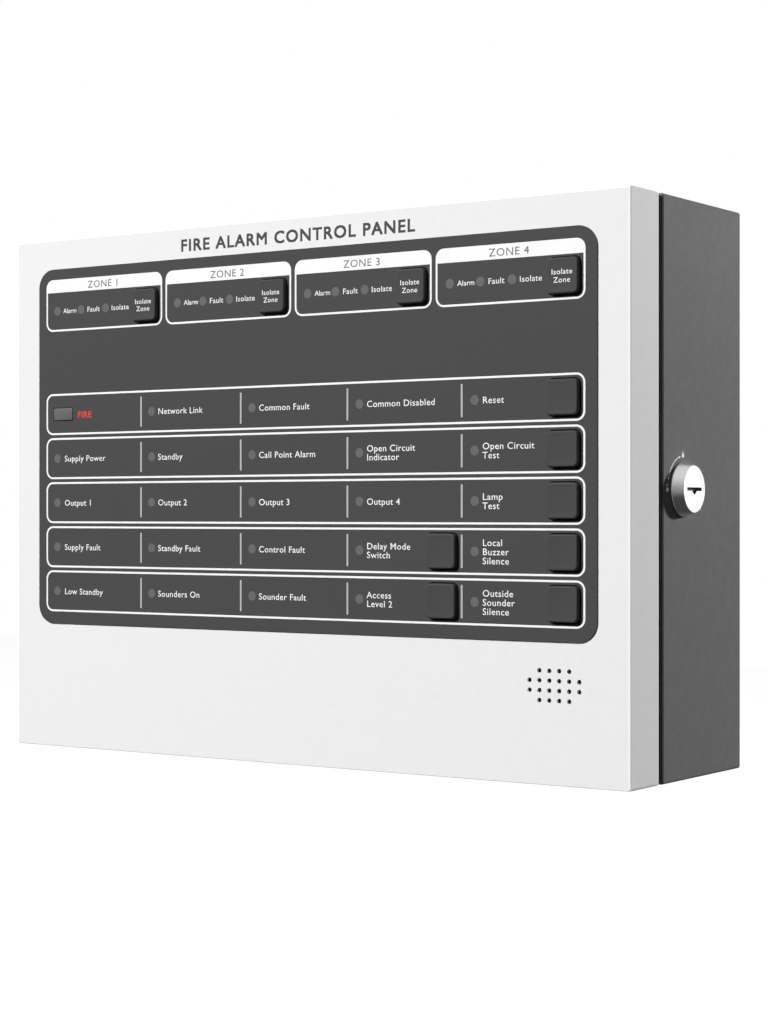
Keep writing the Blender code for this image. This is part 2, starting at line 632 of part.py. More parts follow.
def make_fire_lens():
    """A rectangular lamp lens through the face, with a flange behind the sheet."""
    width, height = FIRE_LENS_SIZE
    x, z = face_x(FIRE_LENS_U), face_z(ROW_V[0])
    rear = FRONT_Y + FIRE_LENS_DEPTH
    bm = bmesh.new()
    add_block(bm, (x, z), FIRE_LENS_SIZE, FRONT_Y - FIRE_LENS_PROUD, rear)
    lens = piece_of("fire_lens", bm, "lens")
    add_round_edges(lens, 0.3 * MM, 1)
    flange = bmesh.new()
    size = (width + 2 * FLANGE_REACH, height + 2 * FLANGE_REACH)
    add_block(flange, (x, z), size, FLANGE_FRONT_Y, FLANGE_FRONT_Y + FLANGE_THICKNESS)
    add_on(lens, "flange", flange)


def make_keys(hinge):
    """Square keys: a cap through the face, a flange behind the sheet and a pill that works the switch."""
    front = FRONT_Y - OVERLAY_GLUE - OVERLAY_THICKNESS - KEY_PROUD
    flange_rear = FLANGE_FRONT_Y + FLANGE_THICKNESS
    flange_size = (KEY_SIZE + 2 * FLANGE_REACH, KEY_SIZE + 2 * FLANGE_REACH)
    pill_front = FLANGE_FRONT_Y + FLANGE_THICKNESS / 4
    pill_rear = DISPLAY_BOARD_Y - KEY_TRAVEL - GAP
    for name, x, z in key_places():
        bm = bmesh.new()
        centre = (x, (front + flange_rear) / 2, z)
        add_rounded_slab(bm, centre, (KEY_SIZE, flange_rear - front, KEY_SIZE), KEY_CORNER)
        key = piece_of(name, bm, "key_rubber")
        add_round_edges(key, 0.7 * MM, 1)
        flange = bmesh.new()
        add_block(flange, (x, z), flange_size, FLANGE_FRONT_Y, flange_rear + FLANGE_THICKNESS / 4)
        add_on(key, "flange", flange)
        pill = bmesh.new()
        add_cylinder(pill, (x, pill_front, z), (x, pill_rear, z), PILL_RADIUS, 8)
        add_on(key, "pill", pill)
        hold(key, joint_empty(f"{name}_slide", (x, FRONT_Y, z), hinge))


def make_display_board():
    """The board behind the face, with its soldered indicators, connector and chips."""
    front, rear = DISPLAY_BOARD_Y, DISPLAY_BOARD_Y + BOARD_THICKNESS
    inside = front + BOARD_THICKNESS / 2
    (low_x, high_x), (low_z, high_z) = DISPLAY_BOARD_X, DISPLAY_BOARD_Z
    bm = bmesh.new()
    add_box(bm, (low_x, front, low_z), (high_x, rear, high_z))
    board = piece_of("display_board", bm, "board")
    holes = bmesh.new()
    for x, z in DISPLAY_STUDS:
        add_cylinder(holes, (x, front - OVER, z), (x, rear + OVER, z), STUD_RADIUS + HOLE_GAP, 10)
    cut(board, "stud_holes", holes)
    soldered = bmesh.new()
    for x, z in led_places():
        add_cylinder(soldered, (x, inside, z), (x, LED_FRONT_Y, z), LED_RADIUS, 6)
    add_block(soldered, (DISPLAY_PLUG.x, DISPLAY_PLUG.z), HEADER_SIZE, inside, rear + PLUG_DEPTH)
    add_block(soldered, (-20 * MM, CHIP_Z), CONTROLLER_SIZE, inside, rear + CONTROLLER_DEPTH)
    for x in DRIVER_X:
        add_block(soldered, (x, CHIP_Z), DRIVER_SIZE, inside, rear + DRIVER_DEPTH)
    add_on(board, "soldered", soldered)


def make_display_board_nuts():
    y = DISPLAY_BOARD_Y + BOARD_THICKNESS + GAP
    for i, (x, z) in enumerate(DISPLAY_STUDS):
        bm = bmesh.new()
        add_cylinder(bm, (x, y, z), (x, y + M3_NUT_HEIGHT, z), M3_NUT_RADIUS, 6)
        nut = piece_of(f"display_board_nut_{i + 1}", bm, "steel")
        bore = bmesh.new()
        ends = (x, y - OVER, z), (x, y + M3_NUT_HEIGHT + OVER, z)
        add_cylinder(bore, *ends, STUD_RADIUS + RUNNING_GAP, 10)
        cut(nut, "bore", bore)


def make_buzzer():
    """A round sounder can on the display board, its sound port behind the door's perforations."""
    place = Vector((face_x(SOUNDER_U), FLANGE_FRONT_Y, face_z(SOUNDER_V)))
    length = DISPLAY_BOARD_Y - GAP - place.y
    profile = [
        (0, BUZZER_PORT_DEPTH),
        (BUZZER_PORT_RADIUS, BUZZER_PORT_DEPTH),
        (BUZZER_PORT_RADIUS, BUZZER_EDGE),
        (BUZZER_RADIUS - BUZZER_EDGE, 0),
        (BUZZER_RADIUS, BUZZER_EDGE),
        (BUZZER_RADIUS, length),
        (0, length),
    ]
    turned("buzzer", profile, "black_plastic", place, (0, 1, 0), 24)


def make_door_catch():
    """A folded bracket: a foot on the door's inner face, an arm into the box and a lip that the cam holds."""
    low_z, high_z = CATCH_Z
    foot_front = FRONT_Y + SHEET + GAP
    arm_low, arm_high = CATCH_ARM_X
    lip_front = LOCK_Y + CAM_WIDTH / 2 + CATCH_CLEARANCE
    lip_rear = lip_front + CATCH_SHEET
    bm = bmesh.new()
    add_box(bm, (arm_low, foot_front, low_z), (arm_high, lip_rear, high_z))
    catch = piece_of("door_catch", bm, "steel")
    foot = bmesh.new()
    add_box(foot, (arm_low, foot_front, low_z), (CATCH_FOOT_X, foot_front + CATCH_SHEET, high_z))
    add_on(catch, "foot", foot)
    lip = bmesh.new()
    add_box(lip, (CATCH_LIP_X, lip_front, low_z), (arm_high, lip_rear, high_z))
    add_on(catch, "lip", lip)


# ---- Hinges ----
def make_hinge(place, centre_z):
    """Two leaves on the outside of the left walls, three knuckles and the pin."""
    top, bottom = centre_z + HINGE_HEIGHT / 2, centre_z - HINGE_HEIGHT / 2
    box_knuckles = ((bottom, bottom + END_KNUCKLE), (top - END_KNUCKLE, top))
    door_knuckle = (bottom + END_KNUCKLE + GAP, top - END_KNUCKLE - GAP)
    make_hinge_leaf(f"hinge_leaf_box_{place}", 1, (bottom, top), box_knuckles)
    make_hinge_leaf(f"hinge_leaf_door_{place}", -1, (bottom, top), (door_knuckle,))
    head_bottom = HINGE_HEIGHT + GAP
    head_top = head_bottom + PIN_HEAD_HEIGHT
    profile = [
        (0, head_top),
        (PIN_HEAD_RADIUS, head_top),
        (PIN_HEAD_RADIUS, head_bottom),
        (HINGE_PIN_RADIUS, head_bottom),
        (HINGE_PIN_RADIUS, -PIN_TAIL),
        (0, -PIN_TAIL),
    ]
    turned(f"hinge_pin_{place}", profile, "steel", (HINGE_X, HINGE_Y, bottom), (0, 0, 1), 16)


def make_hinge_leaf(name, side, height, knuckles):
    """One leaf. side is +1 where it lies behind the axis, on the box, and -1 where it lies on the door."""
    inner_x = LEFT_X - GAP
    outer_x = inner_x - SHEET
    clear = KNUCKLE_RADIUS + KNUCKLE_CLEARANCE
    ends = sorted((HINGE_Y + side * clear, HINGE_Y + side * LEAF_LENGTH))
    bm = bmesh.new()
    add_box(bm, (outer_x, ends[0], height[0]), (inner_x, ends[1], height[1]))
    leaf = piece_of(name, bm, "steel")
    strips = bmesh.new()
    barrels = bmesh.new()
    bores = bmesh.new()
    across = sorted((HINGE_Y, HINGE_Y + side * (clear + SHEET)))
    for low_z, high_z in knuckles:
        add_box(strips, (outer_x, across[0], low_z), (inner_x, across[1], high_z))
        axis_ends = (HINGE_X, HINGE_Y, low_z), (HINGE_X, HINGE_Y, high_z)
        add_cylinder(barrels, *axis_ends, KNUCKLE_RADIUS, 16)
        bore_ends = (HINGE_X, HINGE_Y, low_z - OVER), (HINGE_X, HINGE_Y, high_z + OVER)
        add_cylinder(bores, *bore_ends, HINGE_PIN_RADIUS + RUNNING_GAP, 16)
    add_on(leaf, "strips", strips)
    add_on(leaf, "barrels", barrels)
    cut(leaf, "bores", bores)


# ---- Lock ----
def lock_point(x):
    return Vector((x, LOCK_Y, LOCK_Z))


def make_lock():
    make_lock_body()
    make_lock_plug()
    make_lock_cam()
    make_cam_screw()
    make_lock_nut()


def make_lock_body():
    """The chromed head outside the wall and the barrel through it, bored for the plug."""
    counterbore = PLUG_FACE_RADIUS + RUNNING_GAP
    bore = PLUG_RADIUS + RUNNING_GAP
    shoulder = LOCK_FACE_X - PLUG_FACE_LENGTH - PLUG_SET_BACK
    profile = [
        (counterbore, LOCK_FACE_X - LOCK_EDGE),
        (LOCK_FACE_RADIUS - LOCK_EDGE, LOCK_FACE_X),
        (LOCK_FACE_RADIUS, LOCK_FACE_X - LOCK_EDGE),
        (LOCK_HEAD_RADIUS, LOCK_BASE_X + 2 * LOCK_EDGE),
        (LOCK_HEAD_RADIUS, LOCK_BASE_X),
        (LOCK_BARREL_RADIUS, LOCK_BASE_X),
        (LOCK_BARREL_RADIUS, LOCK_BARREL_END_X),
        (bore, LOCK_BARREL_END_X),
        (bore, shoulder),
        (counterbore, shoulder),
    ]
    turned("lock_body", profile, "chrome", lock_point(0), (1, 0, 0), 32)


def make_lock_plug():
    """The plug: a round face with the key slot and a notch under it, and a square that drives the cam."""
    front = LOCK_FACE_X - PLUG_SET_BACK
    step = front - PLUG_FACE_LENGTH + GAP
    end = LOCK_BARREL_END_X - GAP
    profile = [
        (0, front),
        (PLUG_FACE_RADIUS - GAP, front),
        (PLUG_FACE_RADIUS, front - GAP),
        (PLUG_FACE_RADIUS, step),
        (PLUG_RADIUS, step),
        (PLUG_RADIUS, end),
        (0, end),
    ]
    plug = turned("lock_plug", profile, "chrome", lock_point(0), (1, 0, 0), 32)
    slot_half = Vector((0, KEY_SLOT_LENGTH / 2, KEY_SLOT_WIDTH / 2))
    slot = bmesh.new()
    floor = front - KEY_SLOT_DEPTH
    add_box(slot, lock_point(floor) - slot_half, lock_point(front + OVER) + slot_half)
    cut(plug, "key_slot", slot)
    notch = bmesh.new()
    diamond = Matrix.Rotation(math.pi / 4, 4, "X")
    shape = Matrix.Diagonal((2 * (KEY_SLOT_DEPTH + OVER), *NOTCH_SIZE, 1)) @ diamond
    centre = lock_point(front + OVER) - Vector((0, 0, NOTCH_DROP))
    bmesh.ops.create_cube(notch, size=1, matrix=Matrix.Translation(centre) @ shape)
    cut(plug, "notch", notch)
    square_half = Vector((0, CAM_SQUARE / 2, CAM_SQUARE / 2))
    square = bmesh.new()
    add_box(square, lock_point(CAM_X[0] + RUNNING_GAP) - square_half, lock_point(end + OVER) + square_half)
    add_on(plug, "square", square)
    screw_bore = bmesh.new()
    bore_ends = lock_point(CAM_X[0] - OVER), lock_point(CAM_X[0] + CAM_SCREW_LENGTH + GAP)
    add_cylinder(screw_bore, *bore_ends, CAM_SCREW_RADIUS + RUNNING_GAP, 12)
    cut(plug, "screw_bore", screw_bore)


def make_cam_screw():
    head_front = CAM_X[0] - GAP
    head_rear = head_front - CAM_SCREW_HEAD
    tip = head_front + CAM_SCREW_LENGTH
    profile = [
        (0, head_rear),
        (CAM_HEAD_RADIUS - LOCK_EDGE, head_rear),
        (CAM_HEAD_RADIUS, head_rear + LOCK_EDGE),
        (CAM_HEAD_RADIUS, head_front),
        (CAM_SCREW_RADIUS, head_front),
        (CAM_SCREW_RADIUS, tip),
        (0, tip),
    ]
    turned("cam_screw", profile, "steel", lock_point(0), (1, 0, 0), 16)


def make_lock_nut():
    wall = RIGHT_X - SHEET - GAP
    bm = bmesh.new()
    add_cylinder(bm, lock_point(wall - LOCK_NUT_HEIGHT), lock_point(wall), LOCK_NUT_RADIUS, 6)
    nut = piece_of("lock_nut", bm, "steel")
    bore = bmesh.new()
    ends = lock_point(wall - LOCK_NUT_HEIGHT - OVER), lock_point(wall + OVER)
    add_cylinder(bore, *ends, LOCK_BARREL_RADIUS + RUNNING_GAP, 24)
    cut(nut, "bore", bore)


def make_lock_cam():
    """A flat cam that points forward when the lock is open and up, in front of the catch, when it is shut."""
    bm = bmesh.new()
    half = CAM_WIDTH / 2
    add_box(bm, (CAM_X[0], LOCK_Y - CAM_LENGTH, -half), (CAM_X[1], LOCK_Y, half))
    cam = piece_of("lock_cam", bm, "steel")
    end = bmesh.new()
    add_cylinder(end, lock_point(CAM_X[0]), lock_point(CAM_X[1]), half, 20)
    add_on(cam, "round_end", end)
    hole = bmesh.new()
    hole_half = Vector((OVER, CAM_SQUARE / 2 + RUNNING_GAP, CAM_SQUARE / 2 + RUNNING_GAP))
    add_box(hole, lock_point(CAM_X[0]) - hole_half, lock_point(CAM_X[1]) + hole_half)
    cut(cam, "square_hole", hole)


# ---- Main board and power supply ----
def make_main_board():
    """The board on the rear wall, with its controller, header, relays, capacitors and lead sockets."""
    front, rear = MAIN_BOARD_Y, MAIN_BOARD_Y + BOARD_THICKNESS
    inside = front + BOARD_THICKNESS / 2
    (low_x, high_x), (low_z, high_z) = MAIN_BOARD_X, MAIN_BOARD_Z
    bm = bmesh.new()
    add_box(bm, (low_x, front, low_z), (high_x, rear, high_z))
    board = piece_of("main_board", bm, "board")
    holes = bmesh.new()
    for x, z in standoff_places():
        add_cylinder(holes, (x, front - OVER, z), (x, rear + OVER, z), STANDOFF_NECK_RADIUS + HOLE_GAP, 10)
    cut(board, "standoff_holes", holes)
    soldered = bmesh.new()
    add_block(soldered, (-40 * MM, 45 * MM), CONTROLLER_SIZE, front - CONTROLLER_DEPTH, inside)
    add_block(soldered, (-75 * MM, 45 * MM), DRIVER_SIZE, front - DRIVER_DEPTH, inside)
    add_block(soldered, (MAIN_PLUG.x, MAIN_PLUG.z), HEADER_SIZE, front - PLUG_DEPTH, inside)
    add_block(soldered, (10 * MM, 78 * MM), COIL_SIZE, front - COIL_DEPTH, inside)
    for z in LEAD_SOCKET_Z:
        add_block(soldered, (LEAD_SOCKET_X, z), LEAD_SOCKET_SIZE, front - LEAD_SOCKET_DEPTH, inside)
    for x in RELAY_X:
        add_block(soldered, (x, RELAY_Z), RELAY_SIZE, front - RELAY_DEPTH, inside)
    for x, z in CAPACITOR_PLACES:
        add_cylinder(soldered, (x, inside, z), (x, front - CAPACITOR_HEIGHT, z), CAPACITOR_RADIUS, 14)
    add_on(board, "soldered", soldered)


def standoff_places():
    xs = (MAIN_BOARD_X[0] + STANDOFF_INSET, MAIN_BOARD_X[1] - STANDOFF_INSET)
    zs = (MAIN_BOARD_Z[0] + STANDOFF_INSET, MAIN_BOARD_Z[1] - STANDOFF_INSET)
    return [(x, z) for x in xs for z in zs]


def make_standoffs():
    """Nylon standoffs between the rear wall and the board, with a snap head in front of it."""
    foot = GAP - REAR_INNER_Y
    seat = -MAIN_BOARD_Y - BOARD_THICKNESS - GAP
    snap = GAP - MAIN_BOARD_Y
    profile = [
        (0, snap + SNAP_HEIGHT),
        (SNAP_TIP_RADIUS, snap + SNAP_HEIGHT),
        (SNAP_RADIUS, snap),
        (STANDOFF_NECK_RADIUS, snap),
        (STANDOFF_NECK_RADIUS, seat),
        (STANDOFF_RADIUS, seat),
        (STANDOFF_RADIUS, foot + STANDOFF_FOOT_HEIGHT),
        (STANDOFF_FOOT_RADIUS, foot + STANDOFF_FOOT_HEIGHT),
        (STANDOFF_FOOT_RADIUS, foot),
        (0, foot),
    ]
    for i, (x, z) in enumerate(standoff_places()):
        turned(f"main_board_standoff_{i + 1}", profile, "nylon", (x, 0, z), (0, -1, 0), 8)


def make_terminal_strip(name, centre_x, centre_z, ways, side):
    """A row of screw terminals, with a wire pocket and a screw well for each way.

    side is +1 where the wires come in from above and -1 where they come in from below.
    """
    half_width = ways * TERMINAL_PITCH / 2
    rear = MAIN_BOARD_Y - GAP
    front = rear - TERMINAL_DEPTH
    bm = bmesh.new()
    add_block(bm, (centre_x, centre_z), (2 * half_width, TERMINAL_HEIGHT), front, rear)
    strip = piece_of(name, bm, "terminal_plastic")
    pockets = bmesh.new()
    wells = bmesh.new()
    mouth = centre_z + side * TERMINAL_HEIGHT / 2
    pocket_z = mouth + side * (OVER - POCKET_DEPTH) / 2
    pocket_size = (POCKET_WIDTH, POCKET_DEPTH + OVER)
    well_z = centre_z - side * WELL_OFFSET
    for i in range(ways):
        x = centre_x - half_width + (i + 0.5) * TERMINAL_PITCH
        add_block(pockets, (x, pocket_z), pocket_size, rear - POCKET_FRONT, rear - POCKET_REAR)
        add_cylinder(wells, (x, front - OVER, well_z), (x, front + WELL_DEPTH, well_z), WELL_RADIUS, 5)
    cut(strip, "pockets", pockets)
    cut(strip, "wells", wells)


def make_power_supply():
    """A pierced aluminium case, open at the rear, over its board."""
    (low_x, high_x), (low_z, high_z) = SUPPLY_X, SUPPLY_Z
    rear = REAR_INNER_Y - GAP
    front = rear - SUPPLY_DEPTH
    bm = bmesh.new()
    add_box(bm, (low_x, front, low_z), (high_x, rear, high_z))
    bm.normal_update()
    bmesh.ops.delete(bm, geom=[f for f in bm.faces if f.normal.y > 0.5], context="FACES")
    case = piece_of("power_supply_case", bm, "aluminium")
    solidify = case.modifiers.new("sheet", "SOLIDIFY")
    solidify.thickness = SUPPLY_SHEET
    solidify.offset = -1
    solidify.use_even_offset = True
    vents = bmesh.new()
    for side in (-1, 1):
        for row in range(VENT_ROWS):
            centre = ((low_x + high_x) / 2 + side * VENT_X, low_z + VENT_Z + row * VENT_PITCH)
            add_block(vents, centre, VENT_SIZE, front - OVER, front + SUPPLY_SHEET + OVER)
    cut(case, "vents", vents)
    entries = bmesh.new()
    for x in SUPPLY_LEAD_X:
        ends = (x, SUPPLY_LEAD_Y, low_z - OVER), (x, SUPPLY_LEAD_Y, low_z + SUPPLY_SHEET + OVER)
        add_cylinder(entries, *ends, SUPPLY_ENTRY_RADIUS, 16)
    cut(case, "lead_holes", entries)


def make_power_supply_board():
    """The supply's board, with its transformer, heat sink, filter, input socket and capacitors."""
    (low_x, high_x), (low_z, high_z) = SUPPLY_X, SUPPLY_Z
    inset = SUPPLY_BOARD_INSET
    front, rear = SUPPLY_BOARD_Y, SUPPLY_BOARD_Y + BOARD_THICKNESS
    inside = front + BOARD_THICKNESS / 2
    bm = bmesh.new()
    add_box(bm, (low_x + inset, front, low_z + inset), (high_x - inset, rear, high_z - inset))
    board = piece_of("power_supply_board", bm, "board")
    soldered = bmesh.new()
    add_block(soldered, (104 * MM, 62 * MM), TRANSFORMER_SIZE, front - TRANSFORMER_DEPTH, inside)
    add_block(soldered, (140 * MM, 66 * MM), HEAT_SINK_SIZE, front - HEAT_SINK_DEPTH, inside)
    add_block(soldered, (98 * MM, 95 * MM), FILTER_SIZE, front - FILTER_DEPTH, inside)
    add_block(soldered, (120 * MM, 24 * MM), SUPPLY_SOCKET_SIZE, front - SUPPLY_SOCKET_DEPTH, inside)
    for x, z in ((128 * MM, 92 * MM), (142 * MM, 96 * MM)):
        add_cylinder(soldered, (x, inside, z), (x, front - TRANSFORMER_DEPTH, z), SUPPLY_CAPACITOR_RADIUS, 12)
    add_on(board, "soldered", soldered)


def make_mains_input():
    """A three-way mains terminal block with its fuse carrier, on the rear wall."""
    rear = REAR_INNER_Y - GAP
    low = Vector((84 * MM, rear - MAINS_BLOCK_DEPTH, -22 * MM))
    high = Vector((120 * MM, rear, -4 * MM))
    middle_z = (low.z + high.z) / 2
    wire_front, wire_rear = rear - MAINS_POCKET[0], rear - MAINS_POCKET[1]
    bm = bmesh.new()
    add_box(bm, low, high)
    block = piece_of("mains_terminal_block", bm, "black_plastic")
    wells = bmesh.new()
    way = (high.x - low.x) / 3
    for i in range(3):
        x = low.x + (i + 0.5) * way
        add_cylinder(wells, (x, low.y - OVER, middle_z), (x, low.y + 2 * OVER, middle_z), 3 * MM, 10)
        for z in (low.z, high.z):
            add_block(wells, (x, z), MAINS_POCKET_SIZE, wire_front, wire_rear)
    cut(block, "wells", wells)
    carrier = bmesh.new()
    add_box(carrier, (high.x - MM, wire_front, middle_z - 6 * MM), (FUSE_END_X, rear, middle_z + 6 * MM))
    add_on(block, "fuse_carrier", carrier)
    cap = bmesh.new()
    ends = (high.x + OVER, wire_front, middle_z), (FUSE_END_X - OVER, wire_front, middle_z)
    add_cylinder(cap, *ends, FUSE_RADIUS, 12)
    add_on(block, "fuse_cap", cap)


# ---- Batteries ----
def battery_left_edges():
    return (-BATTERY_SPACE / 2 - BATTERY_SIZE.x, BATTERY_SPACE / 2)


def terminal_tabs(left):
    """The two tab centres, negative then positive."""
    y = BATTERY_REAR_Y - BATTERY_SIZE.y / 2
    return [Vector((left + inset, y, BATTERY_TOP_Z)) for inset in (TAB_INSET, BATTERY_SIZE.x - TAB_INSET)]


def make_batteries():
    half_tab = Vector((TAB_WIDTH / 2, TAB_THICKNESS / 2, 0))
    below, above = Vector((0, 0, -OVER)), Vector((0, 0, TAB_HEIGHT))
    for name, left in zip(("battery_left", "battery_right"), battery_left_edges()):
        bm = bmesh.new()
        low = Vector((left, BATTERY_FRONT_Y, BATTERY_BASE_Z))
        add_box(bm, low, low + BATTERY_SIZE)
        battery = piece_of(name, bm, "battery_plastic")
        add_round_edges(battery, 1.5 * MM)
        tabs = bmesh.new()
        for tab in terminal_tabs(left):
            add_box(tabs, tab - half_tab + below, tab + half_tab + above)
        add_on(battery, "tabs", tabs)


def bracket_screw_places():
    return [(side * BRACKET_SCREW_X, sum(BRACKET_Z) / 2) for side in (-1, 1)]


def make_battery_bracket():
    """A bar across both batteries, with legs back to the rear wall and a foot at each end."""
    low_z, high_z = BRACKET_Z
    bar_y = BATTERY_FRONT_Y - GAP
    leg_x = BATTERY_SPACE / 2 + BATTERY_SIZE.x + MM
    foot_y = REAR_INNER_Y - GAP
    bm = bmesh.new()
    add_box(bm, (-leg_x - SHEET, bar_y - SHEET, low_z), (leg_x + SHEET, bar_y, high_z))
    bracket = piece_of("battery_bracket", bm, "steel")
    legs = bmesh.new()
    feet = bmesh.new()
    holes = bmesh.new()
    for side in (-1, 1):
        leg = sorted((side * leg_x, side * (leg_x + SHEET)))
        add_box(legs, (leg[0], bar_y - SHEET, low_z), (leg[1], foot_y, high_z))
        foot = sorted((side * leg_x, side * BRACKET_END_X))
        add_box(feet, (foot[0], foot_y - SHEET, low_z), (foot[1], foot_y, high_z))
    for x, z in bracket_screw_places():
        ends = (x, foot_y - SHEET - OVER, z), (x, foot_y + OVER, z)
        add_cylinder(holes, *ends, BRACKET_SCREW_RADIUS + HOLE_GAP, 12)
    add_on(bracket, "legs", legs)
    add_on(bracket, "feet", feet)
    cut(bracket, "holes", holes)


def make_bracket_screws():
    """Pan-head screws through the bracket's feet; the profile's heights run forward from the wall."""
    under_head = SHEET + GAP + SHEET + GAP
    top = under_head + BRACKET_SCREW_HEAD
    profile = [
        (0, top),
        (BRACKET_HEAD_RADIUS - PAN_STEP[0], top),
        (BRACKET_HEAD_RADIUS, top - PAN_STEP[1]),
        (BRACKET_HEAD_RADIUS, under_head),
        (BRACKET_SCREW_RADIUS, under_head),
        (BRACKET_SCREW_RADIUS, GAP),
        (0, GAP),
    ]
    for name, (x, z) in zip(("bracket_screw_left", "bracket_screw_right"), bracket_screw_places()):
        turned(name, profile, "steel", (x, 0, z), (0, -1, 0), 12)


# ---- Leads ----
def make_leads():
    """Inner wiring, each lead clipped or plugged at both ends."""
    left, right = battery_left_edges()
    left_minus, left_plus = terminal_tabs(left)
    right_minus, right_plus = terminal_tabs(right)
    on_tab = Vector((0, 0, TAB_HEIGHT + MM))
    rise = Vector((0, 0, 14 * MM))
    socket_end = LEAD_SOCKET_X + LEAD_SOCKET_SIZE[0] / 2 + 1.8 * MM
    supply_plug, battery_plug = (Vector((socket_end, MAIN_BOARD_Y - 4.5 * MM, z)) for z in LEAD_SOCKET_Z)
    output_x, input_x = SUPPLY_LEAD_X
    wire("battery_link_lead", [
        left_plus + on_tab,
        left_plus + rise,
        left_plus.lerp(right_minus, 0.5) + Vector((0, -6 * MM, 18 * MM)),
        right_minus + rise,
        right_minus + on_tab,
    ], BATTERY_LEAD, "black_wire")
    wire("battery_lead_red", [
        right_plus + on_tab,
        right_plus + Vector((0, -3 * MM, 15 * MM)),
        Vector((122 * MM, -44 * MM, -24 * MM)),
        Vector((86 * MM, -34 * MM, -26 * MM)),
        Vector((69 * MM, -20 * MM, -4 * MM)),
        Vector((67 * MM, -17.5 * MM, 12 * MM)),
        battery_plug + Vector((0, 0, 3.2 * MM)),
    ], BATTERY_LEAD, "red_wire")
    wire("battery_lead_black", [
        left_minus + on_tab,
        left_minus + Vector((3 * MM, -4 * MM, 15 * MM)),
        Vector((-100 * MM, -46 * MM, -26 * MM)),
        Vector((0, -48 * MM, -22 * MM)),
        Vector((48 * MM, -42 * MM, -16 * MM)),
        Vector((60 * MM, -30 * MM, 0)),
        Vector((63 * MM, -22 * MM, 12 * MM)),
        battery_plug - Vector((0, 0, 3.2 * MM)),
    ], BATTERY_LEAD, "black_wire")
    wire("supply_lead", [
        supply_plug,
        supply_plug + Vector((8 * MM, -1 * MM, -2 * MM)),
        Vector((72 * MM, -20 * MM, 36 * MM)),
        Vector((74 * MM, -17 * MM, 12 * MM)),
        Vector((84 * MM, -14 * MM, 2 * MM)),
        Vector((output_x - 2 * MM, SUPPLY_LEAD_Y, 1 * MM)),
        Vector((output_x, SUPPLY_LEAD_Y, 7 * MM)),
        Vector((output_x, SUPPLY_LEAD_Y, 15 * MM)),
    ], SUPPLY_LEAD, "red_wire")
    wire("mains_lead", [
        Vector((102 * MM, REAR_INNER_Y - 7.8 * MM, -5 * MM)),
        Vector((103 * MM, REAR_INNER_Y - 8.5 * MM, 0)),
        Vector((113 * MM, REAR_INNER_Y - 10.5 * MM, 3 * MM)),
        Vector((input_x - 1 * MM, SUPPLY_LEAD_Y, 7 * MM)),
        Vector((input_x, SUPPLY_LEAD_Y, 16 * MM)),
    ], MAINS_LEAD, "black_wire", MAINS_LEAD)


DOOR_EARTH_ROUTE = [
    BOX_STUD + Vector((5.4 * MM, 6.6 * MM, -1 * MM)),
    BOX_STUD + Vector((9 * MM, 3 * MM, -5 * MM)),
    Vector((-166 * MM, -26 * MM, -50 * MM)),
    Vector((-165 * MM, -48 * MM, -60 * MM)),
    Vector((-172 * MM, -66 * MM, -52 * MM)),
    Vector((-174 * MM, -82 * MM, -58 * MM)),
    Vector((-173 * MM, -93 * MM, -66 * MM)),
    DOOR_STUD + Vector((2 * MM, 0 * MM, 9 * MM)),
    DOOR_STUD + Vector((0, -6.6 * MM, 5.8 * MM)),
]
RIBBON_WIDTH, RIBBON_THICKNESS = 26 * MM, 1 * MM
RIBBON_SOCKET = Vector((6 * MM, 4.8 * MM, 30 * MM))
RIBBON_ROUTE = [
    MAIN_PLUG + Vector((0, -3 * MM, 0)),
    MAIN_PLUG + Vector((0, -11 * MM, 0)),
    Vector((-146 * MM, -42 * MM, 44 * MM)),
    Vector((-133 * MM, -49 * MM, 42 * MM)),
    Vector((-150 * MM, -57 * MM, 40 * MM)),
    Vector((-168 * MM, -61 * MM, 37 * MM)),
    Vector((-171 * MM, -72 * MM, 33 * MM)),
    Vector((-160 * MM, -80 * MM, 29 * MM)),
    Vector((-145 * MM, -82 * MM, 26 * MM)),
    DISPLAY_PLUG + Vector((0, 9 * MM, 0)),
    DISPLAY_PLUG + Vector((0, 3 * MM, 0)),
]


def make_ribbon_cable():
    """A flat cable with slack: a strip swept along the route, its width upright, and a socket at each end."""
    route = smooth_route(RIBBON_ROUTE, 5 * MM)
    upright = Vector((0, 0, 1))
    across = upright * RIBBON_WIDTH / 2
    bm = bmesh.new()
    rings = []
    for i, place in enumerate(route):
        ahead = route[min(i + 1, len(route) - 1)] - route[max(i - 1, 0)]
        out = ahead.cross(upright).normalized() * RIBBON_THICKNESS / 2
        corners = (across + out, across - out, -across - out, -across + out)
        rings.append([bm.verts.new(place + corner) for corner in corners])
    for first, second in zip(rings, rings[1:]):
        for k in range(4):
            n = (k + 1) % 4
            bm.faces.new((first[k], first[n], second[n], second[k]))
    bm.faces.new(rings[0][::-1])
    bm.faces.new(rings[-1])
    ribbon = piece_of("ribbon_cable", bm, "grey_ribbon")
    sockets = bmesh.new()
    half = RIBBON_SOCKET / 2
    clear = Vector((0, half.y + GAP, 0))
    for centre in (MAIN_PLUG - clear, DISPLAY_PLUG + clear):
        add_box(sockets, centre - half, centre + half)
    add_on(ribbon, "sockets", sockets)


DOOR_PIECES = (
    "door_panel",
    "front_overlay",
    "fire_lens",
    "display_board",
    "display_board_nut_1",
    "display_board_nut_2",
    "display_board_nut_3",
    "display_board_nut_4",
    "buzzer",
    "door_catch",
    "earth_nut_door",
    "hinge_leaf_door_upper",
    "hinge_leaf_door_lower",
)


